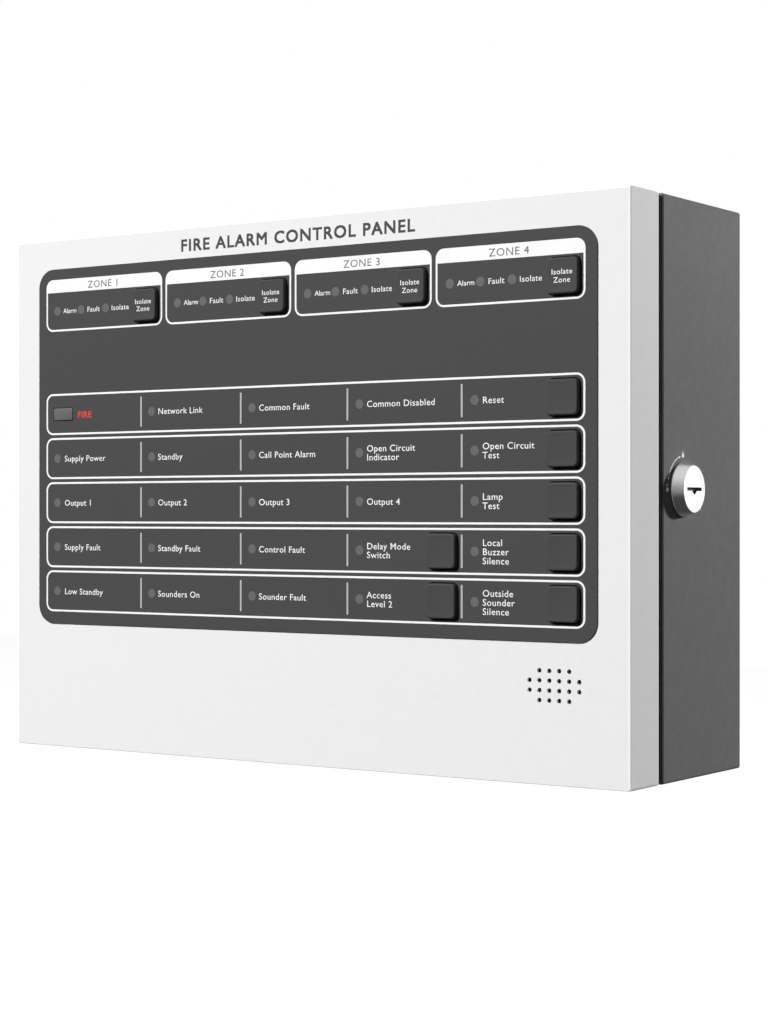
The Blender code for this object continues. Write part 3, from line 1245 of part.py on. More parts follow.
def main():
    make_back_box()
    make_earth_nut("earth_nut_box", BOX_STUD, 1)
    make_door_seal()
    make_grommets()
    make_door_panel()
    make_earth_nut("earth_nut_door", DOOR_STUD, -1)
    make_front_overlay()
    make_fire_lens()
    make_display_board()
    make_display_board_nuts()
    make_buzzer()
    make_door_catch()
    for place, centre_z in zip(("upper", "lower"), HINGE_Z):
        make_hinge(place, centre_z)
    make_lock()
    make_main_board()
    make_standoffs()
    make_terminal_strip("terminal_strip_zones", -60 * MM, 102 * MM, 16, 1)
    make_terminal_strip("terminal_strip_outputs", -20 * MM, -12 * MM, 12, -1)
    make_power_supply()
    make_power_supply_board()
    make_mains_input()
    make_batteries()
    make_battery_bracket()
    make_bracket_screws()
    make_leads()
    make_ribbon_cable()
    wire("door_earth_lead", DOOR_EARTH_ROUTE, EARTH_LEAD, "green_wire")
    hinge = joint_empty("door_hinge", (HINGE_X, HINGE_Y, 0))
    make_keys(hinge)
    for name in DOOR_PIECES:
        hold(bpy.data.objects[name], hinge)


main()
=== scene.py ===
"""Looks of the wall-mounted four-zone fire alarm control panel. Lengths are in metres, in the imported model's frame."""

import json
import math

import bmesh
import bpy
from mathutils import Matrix, Vector


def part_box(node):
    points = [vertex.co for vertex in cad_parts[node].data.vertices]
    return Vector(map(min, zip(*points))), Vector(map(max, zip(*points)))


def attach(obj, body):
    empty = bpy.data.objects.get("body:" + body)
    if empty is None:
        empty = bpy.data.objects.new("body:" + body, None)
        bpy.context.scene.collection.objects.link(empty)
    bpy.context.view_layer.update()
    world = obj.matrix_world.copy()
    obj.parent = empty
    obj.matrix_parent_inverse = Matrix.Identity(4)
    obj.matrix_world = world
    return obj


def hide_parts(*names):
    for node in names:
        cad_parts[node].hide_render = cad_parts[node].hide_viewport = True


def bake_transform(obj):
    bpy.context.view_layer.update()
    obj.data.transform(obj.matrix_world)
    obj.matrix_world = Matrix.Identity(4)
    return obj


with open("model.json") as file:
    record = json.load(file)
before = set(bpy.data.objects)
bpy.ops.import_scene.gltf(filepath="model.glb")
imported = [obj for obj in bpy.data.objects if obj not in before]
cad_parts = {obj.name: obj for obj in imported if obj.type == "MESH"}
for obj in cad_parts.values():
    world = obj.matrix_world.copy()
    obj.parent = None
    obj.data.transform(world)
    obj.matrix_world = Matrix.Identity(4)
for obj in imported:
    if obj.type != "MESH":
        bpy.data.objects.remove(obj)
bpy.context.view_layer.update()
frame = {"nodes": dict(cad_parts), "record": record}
NODES = frame["nodes"]
MM = 0.001

# ---- Face layout, from the face's top left corner (u right, v down) ----
FACE_LOW, FACE_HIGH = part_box("door_panel")
FACE_Y = FACE_LOW[1]
FILM_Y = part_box("front_overlay")[0][1]
INK = 0.03 * MM
ON_AXIS = 1e-9
ROW_PITCH = 23.87 * MM
ROW_V = [95.3 * MM + i * ROW_PITCH for i in range(5)]
ROW_U = (22.6 * MM, 357.0 * MM)
ROW_HEIGHT = 22.2 * MM
COLUMN_PITCH = 66.65 * MM
LED_U = [30.6 * MM + i * COLUMN_PITCH for i in range(5)]
LABEL_U = [35.8 * MM] + [u + 4.3 * MM for u in LED_U[1:]]
DIVIDER_U = [90.0 * MM + i * COLUMN_PITCH for i in range(4)]
DIVIDER_SIZE = (1.0 * MM, 15.8 * MM)
ZONE_PITCH = 84.2 * MM
ZONE_U = [22.6 * MM + i * ZONE_PITCH for i in range(4)]
ZONE_WIDTH = 81.9 * MM
ZONE_V = (22.4 * MM, 50.4 * MM)
ZONE_HEADER = 7.0 * MM
ZONE_LED_V = 39.4 * MM
ZONE_LED_STEPS = (8.0 * MM, 25.1 * MM, 42.6 * MM)
ZONE_LABEL_STEPS = (12.3 * MM, 29.4 * MM, 46.6 * MM)
OUTLINE = 1.0 * MM
OUTLINE_CORNER = 4.6 * MM
LED_RADIUS = 2.35 * MM
LED_PLACES = [(u + step, ZONE_LED_V) for u in ZONE_U for step in ZONE_LED_STEPS]
LED_PLACES += [(u, v) for v in ROW_V for u in LED_U if (u, v) != (LED_U[0], ROW_V[0])]
KEY_NAMES = sorted(name for name in NODES if name.startswith("key_"))

LEGEND_CAP, LEGEND_PITCH = 3.3 * MM, 4.3 * MM
SMALL_CAP, SMALL_PITCH = 2.9 * MM, 3.8 * MM
TITLE_CAP, TITLE_U, TITLE_V = 6.3 * MM, (116.8 * MM, 262.4 * MM), 9.6 * MM
ZONE_TITLE_CAP, ZONE_TITLE_V = 3.9 * MM, 26.0 * MM
FIRE_CAP, FIRE_U = 3.5 * MM, 45.2 * MM
CAP_SHARE = 0.729  # height of the built-in font's capitals for a size of 1
SEMIBOLD, REGULAR = 0.003, 0.001  # how far strokes are widened, as a share of the size
LEGEND_STRETCH, LEGEND_SPACING = 1.1, 1.06


def face_x(u):
    return FACE_LOW[0] + u


def face_z(v):
    return FACE_HIGH[2] - v


# ---- Materials ----
def node(tree, kind, **values):
    made = tree.nodes.new(kind)
    for name, value in values.items():
        setattr(made, name, value)
    return made


def noise(tree, coords, scale, detail=2.0, roughness=0.5):
    made = node(tree, "ShaderNodeTexNoise")
    made.inputs["Scale"].default_value = scale
    made.inputs["Detail"].default_value = detail
    made.inputs["Roughness"].default_value = roughness
    tree.links.new(coords, made.inputs["Vector"])
    return made.outputs["Fac"]


def ramp(tree, value, low, high, out_low, out_high):
    made = node(tree, "ShaderNodeMapRange")
    for name, number in zip(("From Min", "From Max", "To Min", "To Max"), (low, high, out_low, out_high)):
        made.inputs[name].default_value = number
    tree.links.new(value, made.inputs["Value"])
    return made.outputs["Result"]


def mix_colors(tree, factor, first, second):
    made = node(tree, "ShaderNodeMix", data_type="RGBA")
    tree.links.new(factor, made.inputs["Factor"])
    sockets = [s for s in made.inputs if s.type == "RGBA"]
    for socket, color in zip(sockets, (first, second)):
        if isinstance(color, tuple):
            socket.default_value = (*color, 1.0)
        else:
            tree.links.new(color, socket)
    return [s for s in made.outputs if s.type == "RGBA"][0]


def finish(name, color, shade=0.06, rough=0.5, rough_spread=0.08, metallic=0.0, grain=900.0, grain_depth=0.02 * MM,
           cloud=25.0, wear=0.0, wear_color=None, coat=0.0, specular=0.5, brushed=None, emission=0.0, bend_painted_glow=0.0):
    """A procedural finish: clouded colour, uneven roughness, a fine bumped grain and wear on edges, with an optional
    emitted glow over the whole surface and a painted glow on a folded sheet's bends.
    """
    material = bpy.data.materials.new(name)
    material.use_nodes = True
    tree = material.node_tree
    shader = tree.nodes["Principled BSDF"]
    coords = node(tree, "ShaderNodeTexCoord").outputs["Object"]
    grain_coords = coords
    if brushed:
        mapping = node(tree, "ShaderNodeMapping")
        mapping.inputs["Scale"].default_value = brushed
        tree.links.new(coords, mapping.inputs["Vector"])
        grain_coords = mapping.outputs["Vector"]
    fine = noise(tree, grain_coords, grain, 3.0, 0.55)
    clouds = noise(tree, coords, cloud, 4.0, 0.6)
    darker = tuple(c * (1 - shade) for c in color)
    lighter = tuple(min(1.0, c * (1 + shade)) for c in color)
    tone = mix_colors(tree, ramp(tree, clouds, 0.3, 0.7, 0.0, 1.0), darker, lighter)
    if wear:
        geometry = node(tree, "ShaderNodeNewGeometry")
        edges = ramp(tree, geometry.outputs["Pointiness"], 0.53, 0.6, 0.0, wear)
        rubbed = node(tree, "ShaderNodeMath", operation="MULTIPLY")
        tree.links.new(edges, rubbed.inputs[0])
        tree.links.new(ramp(tree, noise(tree, coords, 180.0, 4.0), 0.45, 0.62, 0.0, 1.0), rubbed.inputs[1])
        tone = mix_colors(tree, rubbed.outputs[0], tone, wear_color or lighter)
    tree.links.new(tone, shader.inputs["Base Color"])
    smoother, rougher = max(0.02, rough - rough_spread), min(1.0, rough + rough_spread)
    tree.links.new(ramp(tree, clouds, 0.25, 0.75, smoother, rougher), shader.inputs["Roughness"])
    bump = node(tree, "ShaderNodeBump")
    bump.inputs["Strength"].default_value = 0.35
    bump.inputs["Distance"].default_value = grain_depth
    tree.links.new(fine, bump.inputs["Height"])
    tree.links.new(bump.outputs["Normal"], shader.inputs["Normal"])
    shader.inputs["Metallic"].default_value = metallic
    shader.inputs["Specular IOR Level"].default_value = specular
    shader.inputs["Coat Weight"].default_value = coat
    if emission:
        shader.inputs["Emission Color"].default_value = (*color, 1.0)
        shader.inputs["Emission Strength"].default_value = emission
    # a painted glow on the bends of a folded sheet
    if bend_painted_glow:
        paint_glow_on_bends(tree, shader, bend_painted_glow)
    return material


def paint_glow_on_bends(tree, shader, strength):
    """Paints a glow onto a folded sheet's narrow bends, which face neither light, so that they read lit: emission
    masked by the part's own normals.
    """
    split = node(tree, "ShaderNodeSeparateXYZ")
    tree.links.new(node(tree, "ShaderNodeTexCoord").outputs["Normal"], split.inputs[0])
    sizes = []
    for axis in split.outputs:
        size = node(tree, "ShaderNodeMath", operation="ABSOLUTE")
        tree.links.new(axis, size.inputs[0])
        sizes.append(size.outputs[0])

    def combine(operation, first, second):
        made = node(tree, "ShaderNodeMath", operation=operation)
        tree.links.new(first, made.inputs[0])
        tree.links.new(second, made.inputs[1])
        return made.outputs[0]

    widest = combine("MAXIMUM", combine("MAXIMUM", sizes[0], sizes[1]), sizes[2])
    slanted, off_edge = ramp(tree, widest, 0.999, 0.97, 0.0, 1.0), ramp(tree, sizes[1], 0.03, 0.15, 0.0, 1.0)
    bend = combine("MULTIPLY", slanted, off_edge)
    tree.links.new(mix_colors(tree, bend, (0.0, 0.0, 0.0), (1.0, 1.0, 1.0)), shader.inputs["Emission Color"])
    shader.inputs["Emission Strength"].default_value = strength


def ink(name, color, **options):
    return finish(name, color, shade=0.03, rough=0.55, grain=5000.0, grain_depth=0.005 * MM, cloud=60.0, specular=0.2,
                  **options)


def plastic(name, color, **options):
    values = {"shade": 0.08, "rough": 0.45, "grain": 1500.0, "cloud": 90.0, **options}
    return finish(name, color, **values)


# White powder coat, with a painted glow on its bends that stands in for light they don't get.
WHITE_PAINT = finish("white_powder_coat", (0.86, 0.86, 0.862), shade=0.004, rough=0.6, rough_spread=0.04,
                     grain=1500.0, grain_depth=0.03 * MM, cloud=6.0, wear=0.2, wear_color=(0.75, 0.75, 0.75),
                     specular=0.05, bend_painted_glow=0.3)
GREY_PAINT = finish("grey_powder_coat", (0.163, 0.163, 0.165), shade=0.01, rough=0.62, rough_spread=0.04,
                    grain=1500.0, grain_depth=0.03 * MM, cloud=6.0, wear=0.3, wear_color=(0.23, 0.23, 0.23),
                    specular=0.035)
FILM = finish("front_film", (0.069, 0.069, 0.0702), shade=0.015, rough=0.66, rough_spread=0.04,
              grain=4000.0, grain_depth=0.008 * MM, cloud=10.0, specular=0.08)
KEY_RUBBER = finish("key_rubber", (0.0625, 0.0625, 0.0638), shade=0.03, rough=0.6, rough_spread=0.06, grain=3500.0,
                    grain_depth=0.015 * MM, cloud=120.0, wear=0.25, wear_color=(0.1, 0.1, 0.1), specular=0.12)
# Near-black rubber for the door seal, the grommets and the key-hole lips: real black rubber, made this dark so the door
# seam and the gaps round the keys read as shade, which is partly painted shade.
SEAL_RUBBER_AND_GAP_SHADE = finish("seal_rubber", (0.007, 0.0065, 0.0065), shade=0.2, rough=0.9, grain=2500.0,
                     grain_depth=0.05 * MM, cloud=90.0, specular=0.04)
# The white ink glows faintly: a painted glow that makes the prints read brighter than lit ink.
WHITE_INK = ink("white_ink", (0.9, 0.9, 0.9), emission=0.06)
GREY_INK = ink("grey_ink", (0.5, 0.5, 0.5))
DARK_INK = ink("dark_ink", (0.06, 0.06, 0.063))
MID_INK = ink("header_ink", (0.15, 0.15, 0.155))
# The red ink glows: a painted glow that makes the red legend read brighter than lit ink.
RED_INK = ink("red_ink", (0.75, 0.05, 0.04), emission=0.2)
WINDOW = finish("indicator_window", (0.138, 0.138, 0.14), shade=0.03, rough=0.55, grain=2500.0,
                grain_depth=0.008 * MM, cloud=300.0, specular=0.12)
LENS = finish("fire_lamp_lens", (0.136, 0.133, 0.133), shade=0.04, rough=0.45, grain=1800.0,
              grain_depth=0.03 * MM, cloud=250.0, specular=0.15)
SATIN_CHROME = finish("satin_chrome", (0.86, 0.86, 0.87), shade=0.03, rough=0.24, rough_spread=0.05, metallic=1.0,
                      grain=900.0, grain_depth=0.012 * MM, cloud=60.0)
# Dark grey on the key slot's cut walls and floor: painted shade inside the deep slot.
KEYWAY_SHADE = finish("keyway_painted_shade", (0.09, 0.09, 0.092), shade=0.2, rough=0.55, grain=2500.0, cloud=500.0, metallic=0.4)
STEEL = finish("zinc_plated_steel", (0.62, 0.62, 0.6), shade=0.1, rough=0.36, rough_spread=0.1, metallic=1.0,
               grain=700.0, cloud=70.0, wear=0.4, wear_color=(0.8, 0.8, 0.78), brushed=(1, 1, 0.08))
ALUMINIUM = finish("pressed_aluminium", (0.78, 0.79, 0.8), shade=0.05, rough=0.38, metallic=1.0,
                   cloud=40.0, brushed=(0.06, 1, 1))
BOARD = finish("solder_mask", (0.018, 0.14, 0.05), shade=0.22, rough=0.38, rough_spread=0.1, grain=1200.0,
               cloud=160.0, coat=0.2)
TRACK = finish("board_track", (0.03, 0.2, 0.075), shade=0.1, rough=0.35, grain=1200.0, cloud=160.0, coat=0.2)
SOLDER = finish("solder", (0.7, 0.71, 0.72), shade=0.08, rough=0.3, metallic=1.0, cloud=400.0)
TERMINAL = plastic("terminal_plastic", (0.045, 0.28, 0.11))
BLACK_PLASTIC = plastic("black_plastic", (0.02, 0.02, 0.022), shade=0.15, wear=0.3, wear_color=(0.06, 0.06, 0.06))
IVORY_PLASTIC = plastic("ivory_plastic", (0.72, 0.7, 0.62), shade=0.04)
BLUE_PLASTIC = plastic("relay_case", (0.03, 0.1, 0.32), rough=0.35)
BATTERY_CASE = plastic("battery_case", (0.05, 0.055, 0.068), shade=0.1, grain_depth=0.04 * MM, cloud=50.0, wear=0.3,
                       wear_color=(0.1, 0.1, 0.11))
BATTERY_LID = plastic("battery_lid", (0.035, 0.038, 0.045), shade=0.1, grain_depth=0.04 * MM, cloud=50.0)
COPPER = finish("coil_winding", (0.72, 0.32, 0.14), shade=0.15, rough=0.35, metallic=1.0, grain=1500.0, cloud=300.0)
TAPE = plastic("transformer_tape", (0.62, 0.45, 0.08), rough=0.4)
NYLON = plastic("natural_nylon", (0.76, 0.74, 0.68), shade=0.04)
RED_WIRE = plastic("red_insulation", (0.55, 0.02, 0.018), rough=0.38, cloud=150.0)
BLACK_WIRE = plastic("black_insulation", (0.018, 0.018, 0.02), shade=0.15, rough=0.38, cloud=150.0)
GREEN_WIRE = plastic("green_insulation", (0.08, 0.42, 0.05), rough=0.38, cloud=150.0)
RIBBON = finish("ribbon_insulation", (0.42, 0.42, 0.44), shade=0.06, rough=0.5, grain=900.0, cloud=100.0)
FLOOR = finish("pale_floor", (0.9, 0.9, 0.9), shade=0.01, rough=0.9, grain=40.0, cloud=3.0, emission=0.9)

CAD_FINISH = {
    "grey_paint": GREY_PAINT, "white_paint": WHITE_PAINT, "overlay_film": FILM, "key_rubber": KEY_RUBBER,
    "seal_rubber": SEAL_RUBBER_AND_GAP_SHADE, "lens": LENS, "steel": STEEL, "chrome": SATIN_CHROME, "board": BOARD,
    "terminal_plastic": TERMINAL, "black_plastic": BLACK_PLASTIC, "battery_case": BATTERY_CASE,
    "aluminium": ALUMINIUM, "nylon": NYLON, "red_wire": RED_WIRE, "black_wire": BLACK_WIRE,
    "green_wire": GREEN_WIRE, "grey_ribbon": RIBBON,
}
for entry in frame["record"]["subparts"]:
    NODES[entry["node"]].data.materials.clear()
    NODES[entry["node"]].data.materials.append(CAD_FINISH[entry["material_slot"]])


# ---- Helpers ----
def piece(name, bm, material, body, smooth=True, replaces=None, sharp=35):
    """Makes a mesh object that rides on a body; with no body it is left free."""
    mesh = bpy.data.meshes.new(name)
    bmesh.ops.recalc_face_normals(bm, faces=bm.faces[:])
    bm.to_mesh(mesh)
    bm.free()
    mesh.materials.append(material)
    obj = bpy.data.objects.new(name, mesh)
    bpy.context.scene.collection.objects.link(obj)
    if smooth:
        mesh.shade_smooth()
        mesh.set_sharp_from_angle(angle=math.radians(sharp))
    if body:
        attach(obj, body)
    if replaces:
        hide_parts(replaces)
    return obj


def centre_of(name):
    """The middle of a CAD node's box, seen from the front, as x and z."""
    low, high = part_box(name)
    return (low[0] + high[0]) / 2, (low[2] + high[2]) / 2


def profile(base, *pairs):
    """A turned shape's (radius, height) pairs, given in millimetres, with the heights counted from base."""
    return [(radius * MM, base + height * MM) for radius, height in pairs]


def oblong(x, z, half_width, half_height):
    """The corners of a rectangle about a point."""
    return [(x + i * half_width, z + k * half_height) for i, k in ((-1, -1), (1, -1), (1, 1), (-1, 1))]


def circle(centre_x, centre_z, radius, count):
    angles = (math.tau * i / count for i in range(count))
    return [(centre_x + radius * math.cos(a), centre_z + radius * math.sin(a)) for a in angles]


def rounded_points(low_x, high_x, low_z, high_z, radius, steps=8):
    points = []
    corners = ((high_x - radius, high_z - radius, 0), (low_x + radius, high_z - radius, 90),
               (low_x + radius, low_z + radius, 180), (high_x - radius, low_z + radius, 270))
    for x, z, start in corners:
        for i in range(steps + 1):
            angle = math.radians(start + 90 * i / steps)
            points.append((x + radius * math.cos(angle), z + radius * math.sin(angle)))
    return points


def add_rings(bm, rings, close=True):
    """Joins rings of points into a skin; the first and last rings are filled unless it is left open."""
    made = [[bm.verts.new(point) for point in ring] for ring in rings]
    for first, second in zip(made, made[1:]):
        for i in range(len(first)):
            n = (i + 1) % len(first)
            bm.faces.new((first[i], first[n], second[n], second[i]))
    if close:
        bm.faces.new(made[0][::-1])
        bm.faces.new(made[-1])
    return made


def add_plate(bm, points, front_y, rear_y):
    """A closed plate with the given outline."""
    add_rings(bm, [[(x, y, z) for x, z in points] for y in (front_y, rear_y)])


def add_frame(bm, outer, inner, front_y, rear_y):
    """A closed ring between two outlines with the same number of points."""
    loops = ((outer, front_y), (inner, front_y), (inner, rear_y), (outer, rear_y))
    rings = [[bm.verts.new((x, y, z)) for x, z in outline] for outline, y in loops]
    for k in range(4):
        here, there = rings[k], rings[(k + 1) % 4]
        for i in range(len(outer)):
            n = (i + 1) % len(outer)
            bm.faces.new((here[i], here[n], there[n], there[i]))


def add_block(bm, low, high, edge=0.4 * MM, segments=2):
    """A box with rounded edges."""
    low, high = Vector(low), Vector(high)
    shape = Matrix.Translation((low + high) / 2) @ Matrix.Diagonal((*(high - low), 1))
    made = bmesh.ops.create_cube(bm, size=1, matrix=shape)["verts"]
    edges = list(dict.fromkeys(e for v in made for e in v.link_edges))
    bmesh.ops.bevel(bm, geom=edges, offset=edge, segments=segments, profile=0.5, affect="EDGES")


def add_chip(bm, centre, size, low_y, high_y, edge=0.3 * MM):
    """A block given by its centre and size across the board and by its two heights in y."""
    (x, z), (width, height) = centre, size
    low_y, high_y = sorted((low_y, high_y))
    add_block(bm, (x - width / 2, low_y, z - height / 2), (x + width / 2, high_y, z + height / 2), edge)


def add_turned(bm, pairs, place, axis, segments=48):
    """A turned shape: (radius, height) pairs round the axis from place.

    A profile that starts and ends off the axis makes a ring.
    """
    turn = Vector((0, 0, 1)).rotation_difference(Vector(axis)).to_matrix()
    place = Vector(place)
    rings = []
    for radius, height in pairs:
        if radius < ON_AXIS:
            rings.append([bm.verts.new(place + turn @ Vector((0, 0, height)))])
            continue
        angles = (math.tau * i / segments for i in range(segments))
        ring = (Vector((radius * math.cos(a), radius * math.sin(a), height)) for a in angles)
        rings.append([bm.verts.new(place + turn @ point) for point in ring])
    bands = list(zip(rings, rings[1:]))
    if len(rings[0]) > 1 and len(rings[-1]) > 1:
        bands.append((rings[-1], rings[0]))
    for first, second in bands:
        for i in range(segments):
            n = (i + 1) % segments
            if len(first) == 1:
                bm.faces.new((first[0], second[n], second[i]))
            elif len(second) == 1:
                bm.faces.new((first[i], first[n], second[0]))
            else:
                bm.faces.new((first[i], first[n], second[n], second[i]))


def smooth_route(points, spacing):
    """Points along a curve through the given ones, about evenly spaced."""
    ends = [points[0] * 2 - points[1], *points, points[-1] * 2 - points[-2]]
    route = []
    for k in range(1, len(ends) - 2):
        a, b, c, d = ends[k - 1:k + 3]
        steps = max(2, round((c - b).length / spacing))
        for i in range(steps):
            t = i / steps
            square, cube = (2 * a - 5 * b + 4 * c - d) * t ** 2, (3 * b - a - 3 * c + d) * t ** 3
            route.append(0.5 * (2 * b + (c - a) * t + square + cube))
    return [*route, ends[-2]]


def add_tube(bm, points, radius, spacing=2 * MM, sides=14):
    """A round lead swept along a smooth route."""
    route = smooth_route([Vector(p) for p in points], spacing)
    side = None
    rings = []
    for i, place in enumerate(route):
        ahead = (route[min(i + 1, len(route) - 1)] - route[max(i - 1, 0)]).normalized()
        side = ahead.orthogonal() if side is None else side - ahead * side.dot(ahead)
        side.normalize()
        up = ahead.cross(side)
        angles = (math.tau * k / sides for k in range(sides))
        rings.append([place + radius * (side * math.cos(a) + up * math.sin(a)) for a in angles])
    add_rings(bm, rings)


def cut_away(obj, bm, material):
    """Cuts the shape in bm out of a finished piece; the cut faces take the given material."""
    mesh = bpy.data.meshes.new("cutter")
    bmesh.ops.recalc_face_normals(bm, faces=bm.faces[:])
    bm.to_mesh(mesh)
    bm.free()
    mesh.materials.append(material)
    cutter = bpy.data.objects.new("cutter", mesh)
    bpy.context.scene.collection.objects.link(cutter)
    modifier = obj.modifiers.new("cut", "BOOLEAN")
    modifier.operation, modifier.solver, modifier.material_mode = "DIFFERENCE", "EXACT", "TRANSFER"
    modifier.object = cutter
    graph = bpy.context.evaluated_depsgraph_get()
    result = bpy.data.meshes.new_from_object(obj.evaluated_get(graph))
    obj.modifiers.clear()
    obj.data = result
    bpy.data.objects.remove(cutter)
    result.set_sharp_from_angle(angle=math.radians(35))


def ink_text(name, words, x, z, cap, material, y, body="door", align="LEFT", pitch=LEGEND_PITCH, width=None,
             weight=SEMIBOLD, spacing=LEGEND_SPACING, strike=0.0):
    """A thin printed legend in the built-in font, centred on z. It is stretched to width if that is given.

    strike prints it over itself, shifted by up to that much, for bolder strokes.
    """
    curve = bpy.data.curves.new(name, "FONT")
    curve.body = words
    curve.size = cap / CAP_SHARE
    curve.align_x = align
    curve.align_y = "TOP_BASELINE"
    curve.space_character = spacing
    curve.space_line = pitch / curve.size
    curve.offset = weight * curve.size
    curve.extrude = INK / 2
    curve.resolution_u = 3
    holder = bpy.data.objects.new(name + "_text", curve)
    bpy.context.scene.collection.objects.link(holder)
    bpy.context.view_layer.update()
    graph = bpy.context.evaluated_depsgraph_get()
    mesh = bpy.data.meshes.new_from_object(holder.evaluated_get(graph))
    bpy.data.objects.remove(holder)
    stretch = LEGEND_STRETCH
    if width:
        across = [v.co.x for v in mesh.vertices]
        stretch = width / (max(across) - min(across))
    baseline = z + words.count("\n") * pitch / 2 - (cap + strike) / 2
    stand = Matrix.Rotation(math.pi / 2, 4, "X") @ Matrix.Diagonal((stretch, 1, 1, 1))
    mesh.transform(Matrix.Translation((x - strike / 2, y - INK / 2, baseline)) @ stand)
    if strike:
        bm = bmesh.new()
        bm.from_mesh(mesh)
        first = bm.verts[:] + bm.edges[:] + bm.faces[:]
        for i, (across, up) in enumerate(((1, 0), (0, 1), (1, 1), (0.5, 0.5))):
            again = bmesh.ops.duplicate(bm, geom=first)["geom"]
            verts = [g for g in again if isinstance(g, bmesh.types.BMVert)]
            bmesh.ops.translate(bm, verts=verts, vec=(across * strike, -INK * (i + 1) / 12, up * strike))
        bm.to_mesh(mesh)
        bm.free()
    mesh.materials.clear()
    mesh.materials.append(material)
    obj = bpy.data.objects.new(name, mesh)
    bpy.context.scene.collection.objects.link(obj)
    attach(obj, body)
    return obj


# ---- Prints on the front ----
def make_outlines():
    boxes = [(u, u + ZONE_WIDTH, *ZONE_V) for u in ZONE_U]
    boxes += [(*ROW_U, v - ROW_HEIGHT / 2, v + ROW_HEIGHT / 2) for v in ROW_V]
    bm = bmesh.new()
    for left, right, top, bottom in boxes:
        outer, inner = (
            rounded_points(face_x(left) + inset, face_x(right) - inset, face_z(bottom) + inset, face_z(top) - inset,
                           OUTLINE_CORNER - inset)
            for inset in (0, OUTLINE)
        )
        add_frame(bm, outer, inner, FILM_Y - INK, FILM_Y)
    piece("printed_outlines", bm, WHITE_INK, "door", smooth=False)

    bm = bmesh.new()
    inset = OUTLINE / 4
    for u in ZONE_U:
        low_x, high_x = face_x(u) + inset, face_x(u + ZONE_WIDTH) - inset
        top, bottom = face_z(ZONE_V[0]) - inset, face_z(ZONE_V[0] + ZONE_HEADER)
        outline = rounded_points(low_x, high_x, bottom - OUTLINE_CORNER, top, OUTLINE_CORNER - inset)
        upper = [point for point in outline if point[1] > bottom]
        add_plate(bm, [(high_x, bottom), *upper, (low_x, bottom)], FILM_Y - INK / 2, FILM_Y)
    piece("printed_zone_headers", bm, WHITE_INK, "door", smooth=False)

    bm = bmesh.new()
    half_width, half_height = DIVIDER_SIZE[0] / 2, DIVIDER_SIZE[1] / 2
    for v in ROW_V:
        for u in DIVIDER_U:
            add_plate(bm, oblong(face_x(u), face_z(v), half_width, half_height), FILM_Y - INK, FILM_Y)
    piece("printed_dividers", bm, GREY_INK, "door", smooth=False)


def make_windows():
    """The indicators' clear windows in the film."""
    bm = bmesh.new()
    for u, v in LED_PLACES:
        add_plate(bm, circle(face_x(u), face_z(v), LED_RADIUS, 32), FILM_Y - INK, FILM_Y)
    piece("indicator_windows", bm, WINDOW, "door", smooth=False)


ROW_LEGENDS = (
    (None, "Network Link", "Common Fault", "Common Disabled", "Reset"),
    ("Supply Power", "Standby", "Call Point Alarm", "Open Circuit\nIndicator", "Open Circuit\nTest"),
    ("Output 1", "Output 2", "Output 3", "Output 4", "Lamp\nTest"),
    ("Supply Fault", "Standby Fault", "Control Fault", "Delay Mode\nSwitch", "Local\nBuzzer\nSilence"),
    ("Low Standby", "Sounders On", "Sounder Fault", "Access\nLevel 2", "Outside\nSounder\nSilence"),
)


def make_legends():
    ink_text("title_legend", "FIRE ALARM CONTROL PANEL", face_x(sum(TITLE_U) / 2), face_z(TITLE_V), TITLE_CAP, DARK_INK,
             FACE_Y, align="CENTER", width=TITLE_U[1] - TITLE_U[0], weight=0.0, spacing=1.14, strike=0.45 * MM)
    for i, u in enumerate(ZONE_U):
        ink_text(f"zone_{i + 1}_title", f"ZONE {i + 1}", face_x(u + ZONE_WIDTH / 2), face_z(ZONE_TITLE_V),
                 ZONE_TITLE_CAP, MID_INK, FILM_Y - INK / 2, align="CENTER", weight=REGULAR, spacing=1.1)
        for words, step in zip(("Alarm", "Fault", "Isolate"), ZONE_LABEL_STEPS):
            cap, width, spacing = (2.7 * MM, 9.5 * MM, 1.0) if words == "Alarm" else (SMALL_CAP, None, LEGEND_SPACING)
            ink_text(f"zone_{i + 1}_{words.lower()}", words, face_x(u + step), face_z(ZONE_LED_V), cap, WHITE_INK,
                     FILM_Y, width=width, spacing=spacing)
    for r, (v, row) in enumerate(zip(ROW_V, ROW_LEGENDS)):
        for c, (u, words) in enumerate(zip(LABEL_U, row)):
            if words:
                ink_text(f"row_{r + 1}_legend_{c + 1}", words, face_x(u), face_z(v), LEGEND_CAP, WHITE_INK, FILM_Y)
    ink_text("fire_legend", "FIRE", face_x(FIRE_U), face_z(ROW_V[0] + 0.4 * MM), FIRE_CAP, RED_INK, FILM_Y,
             strike=0.12 * MM)


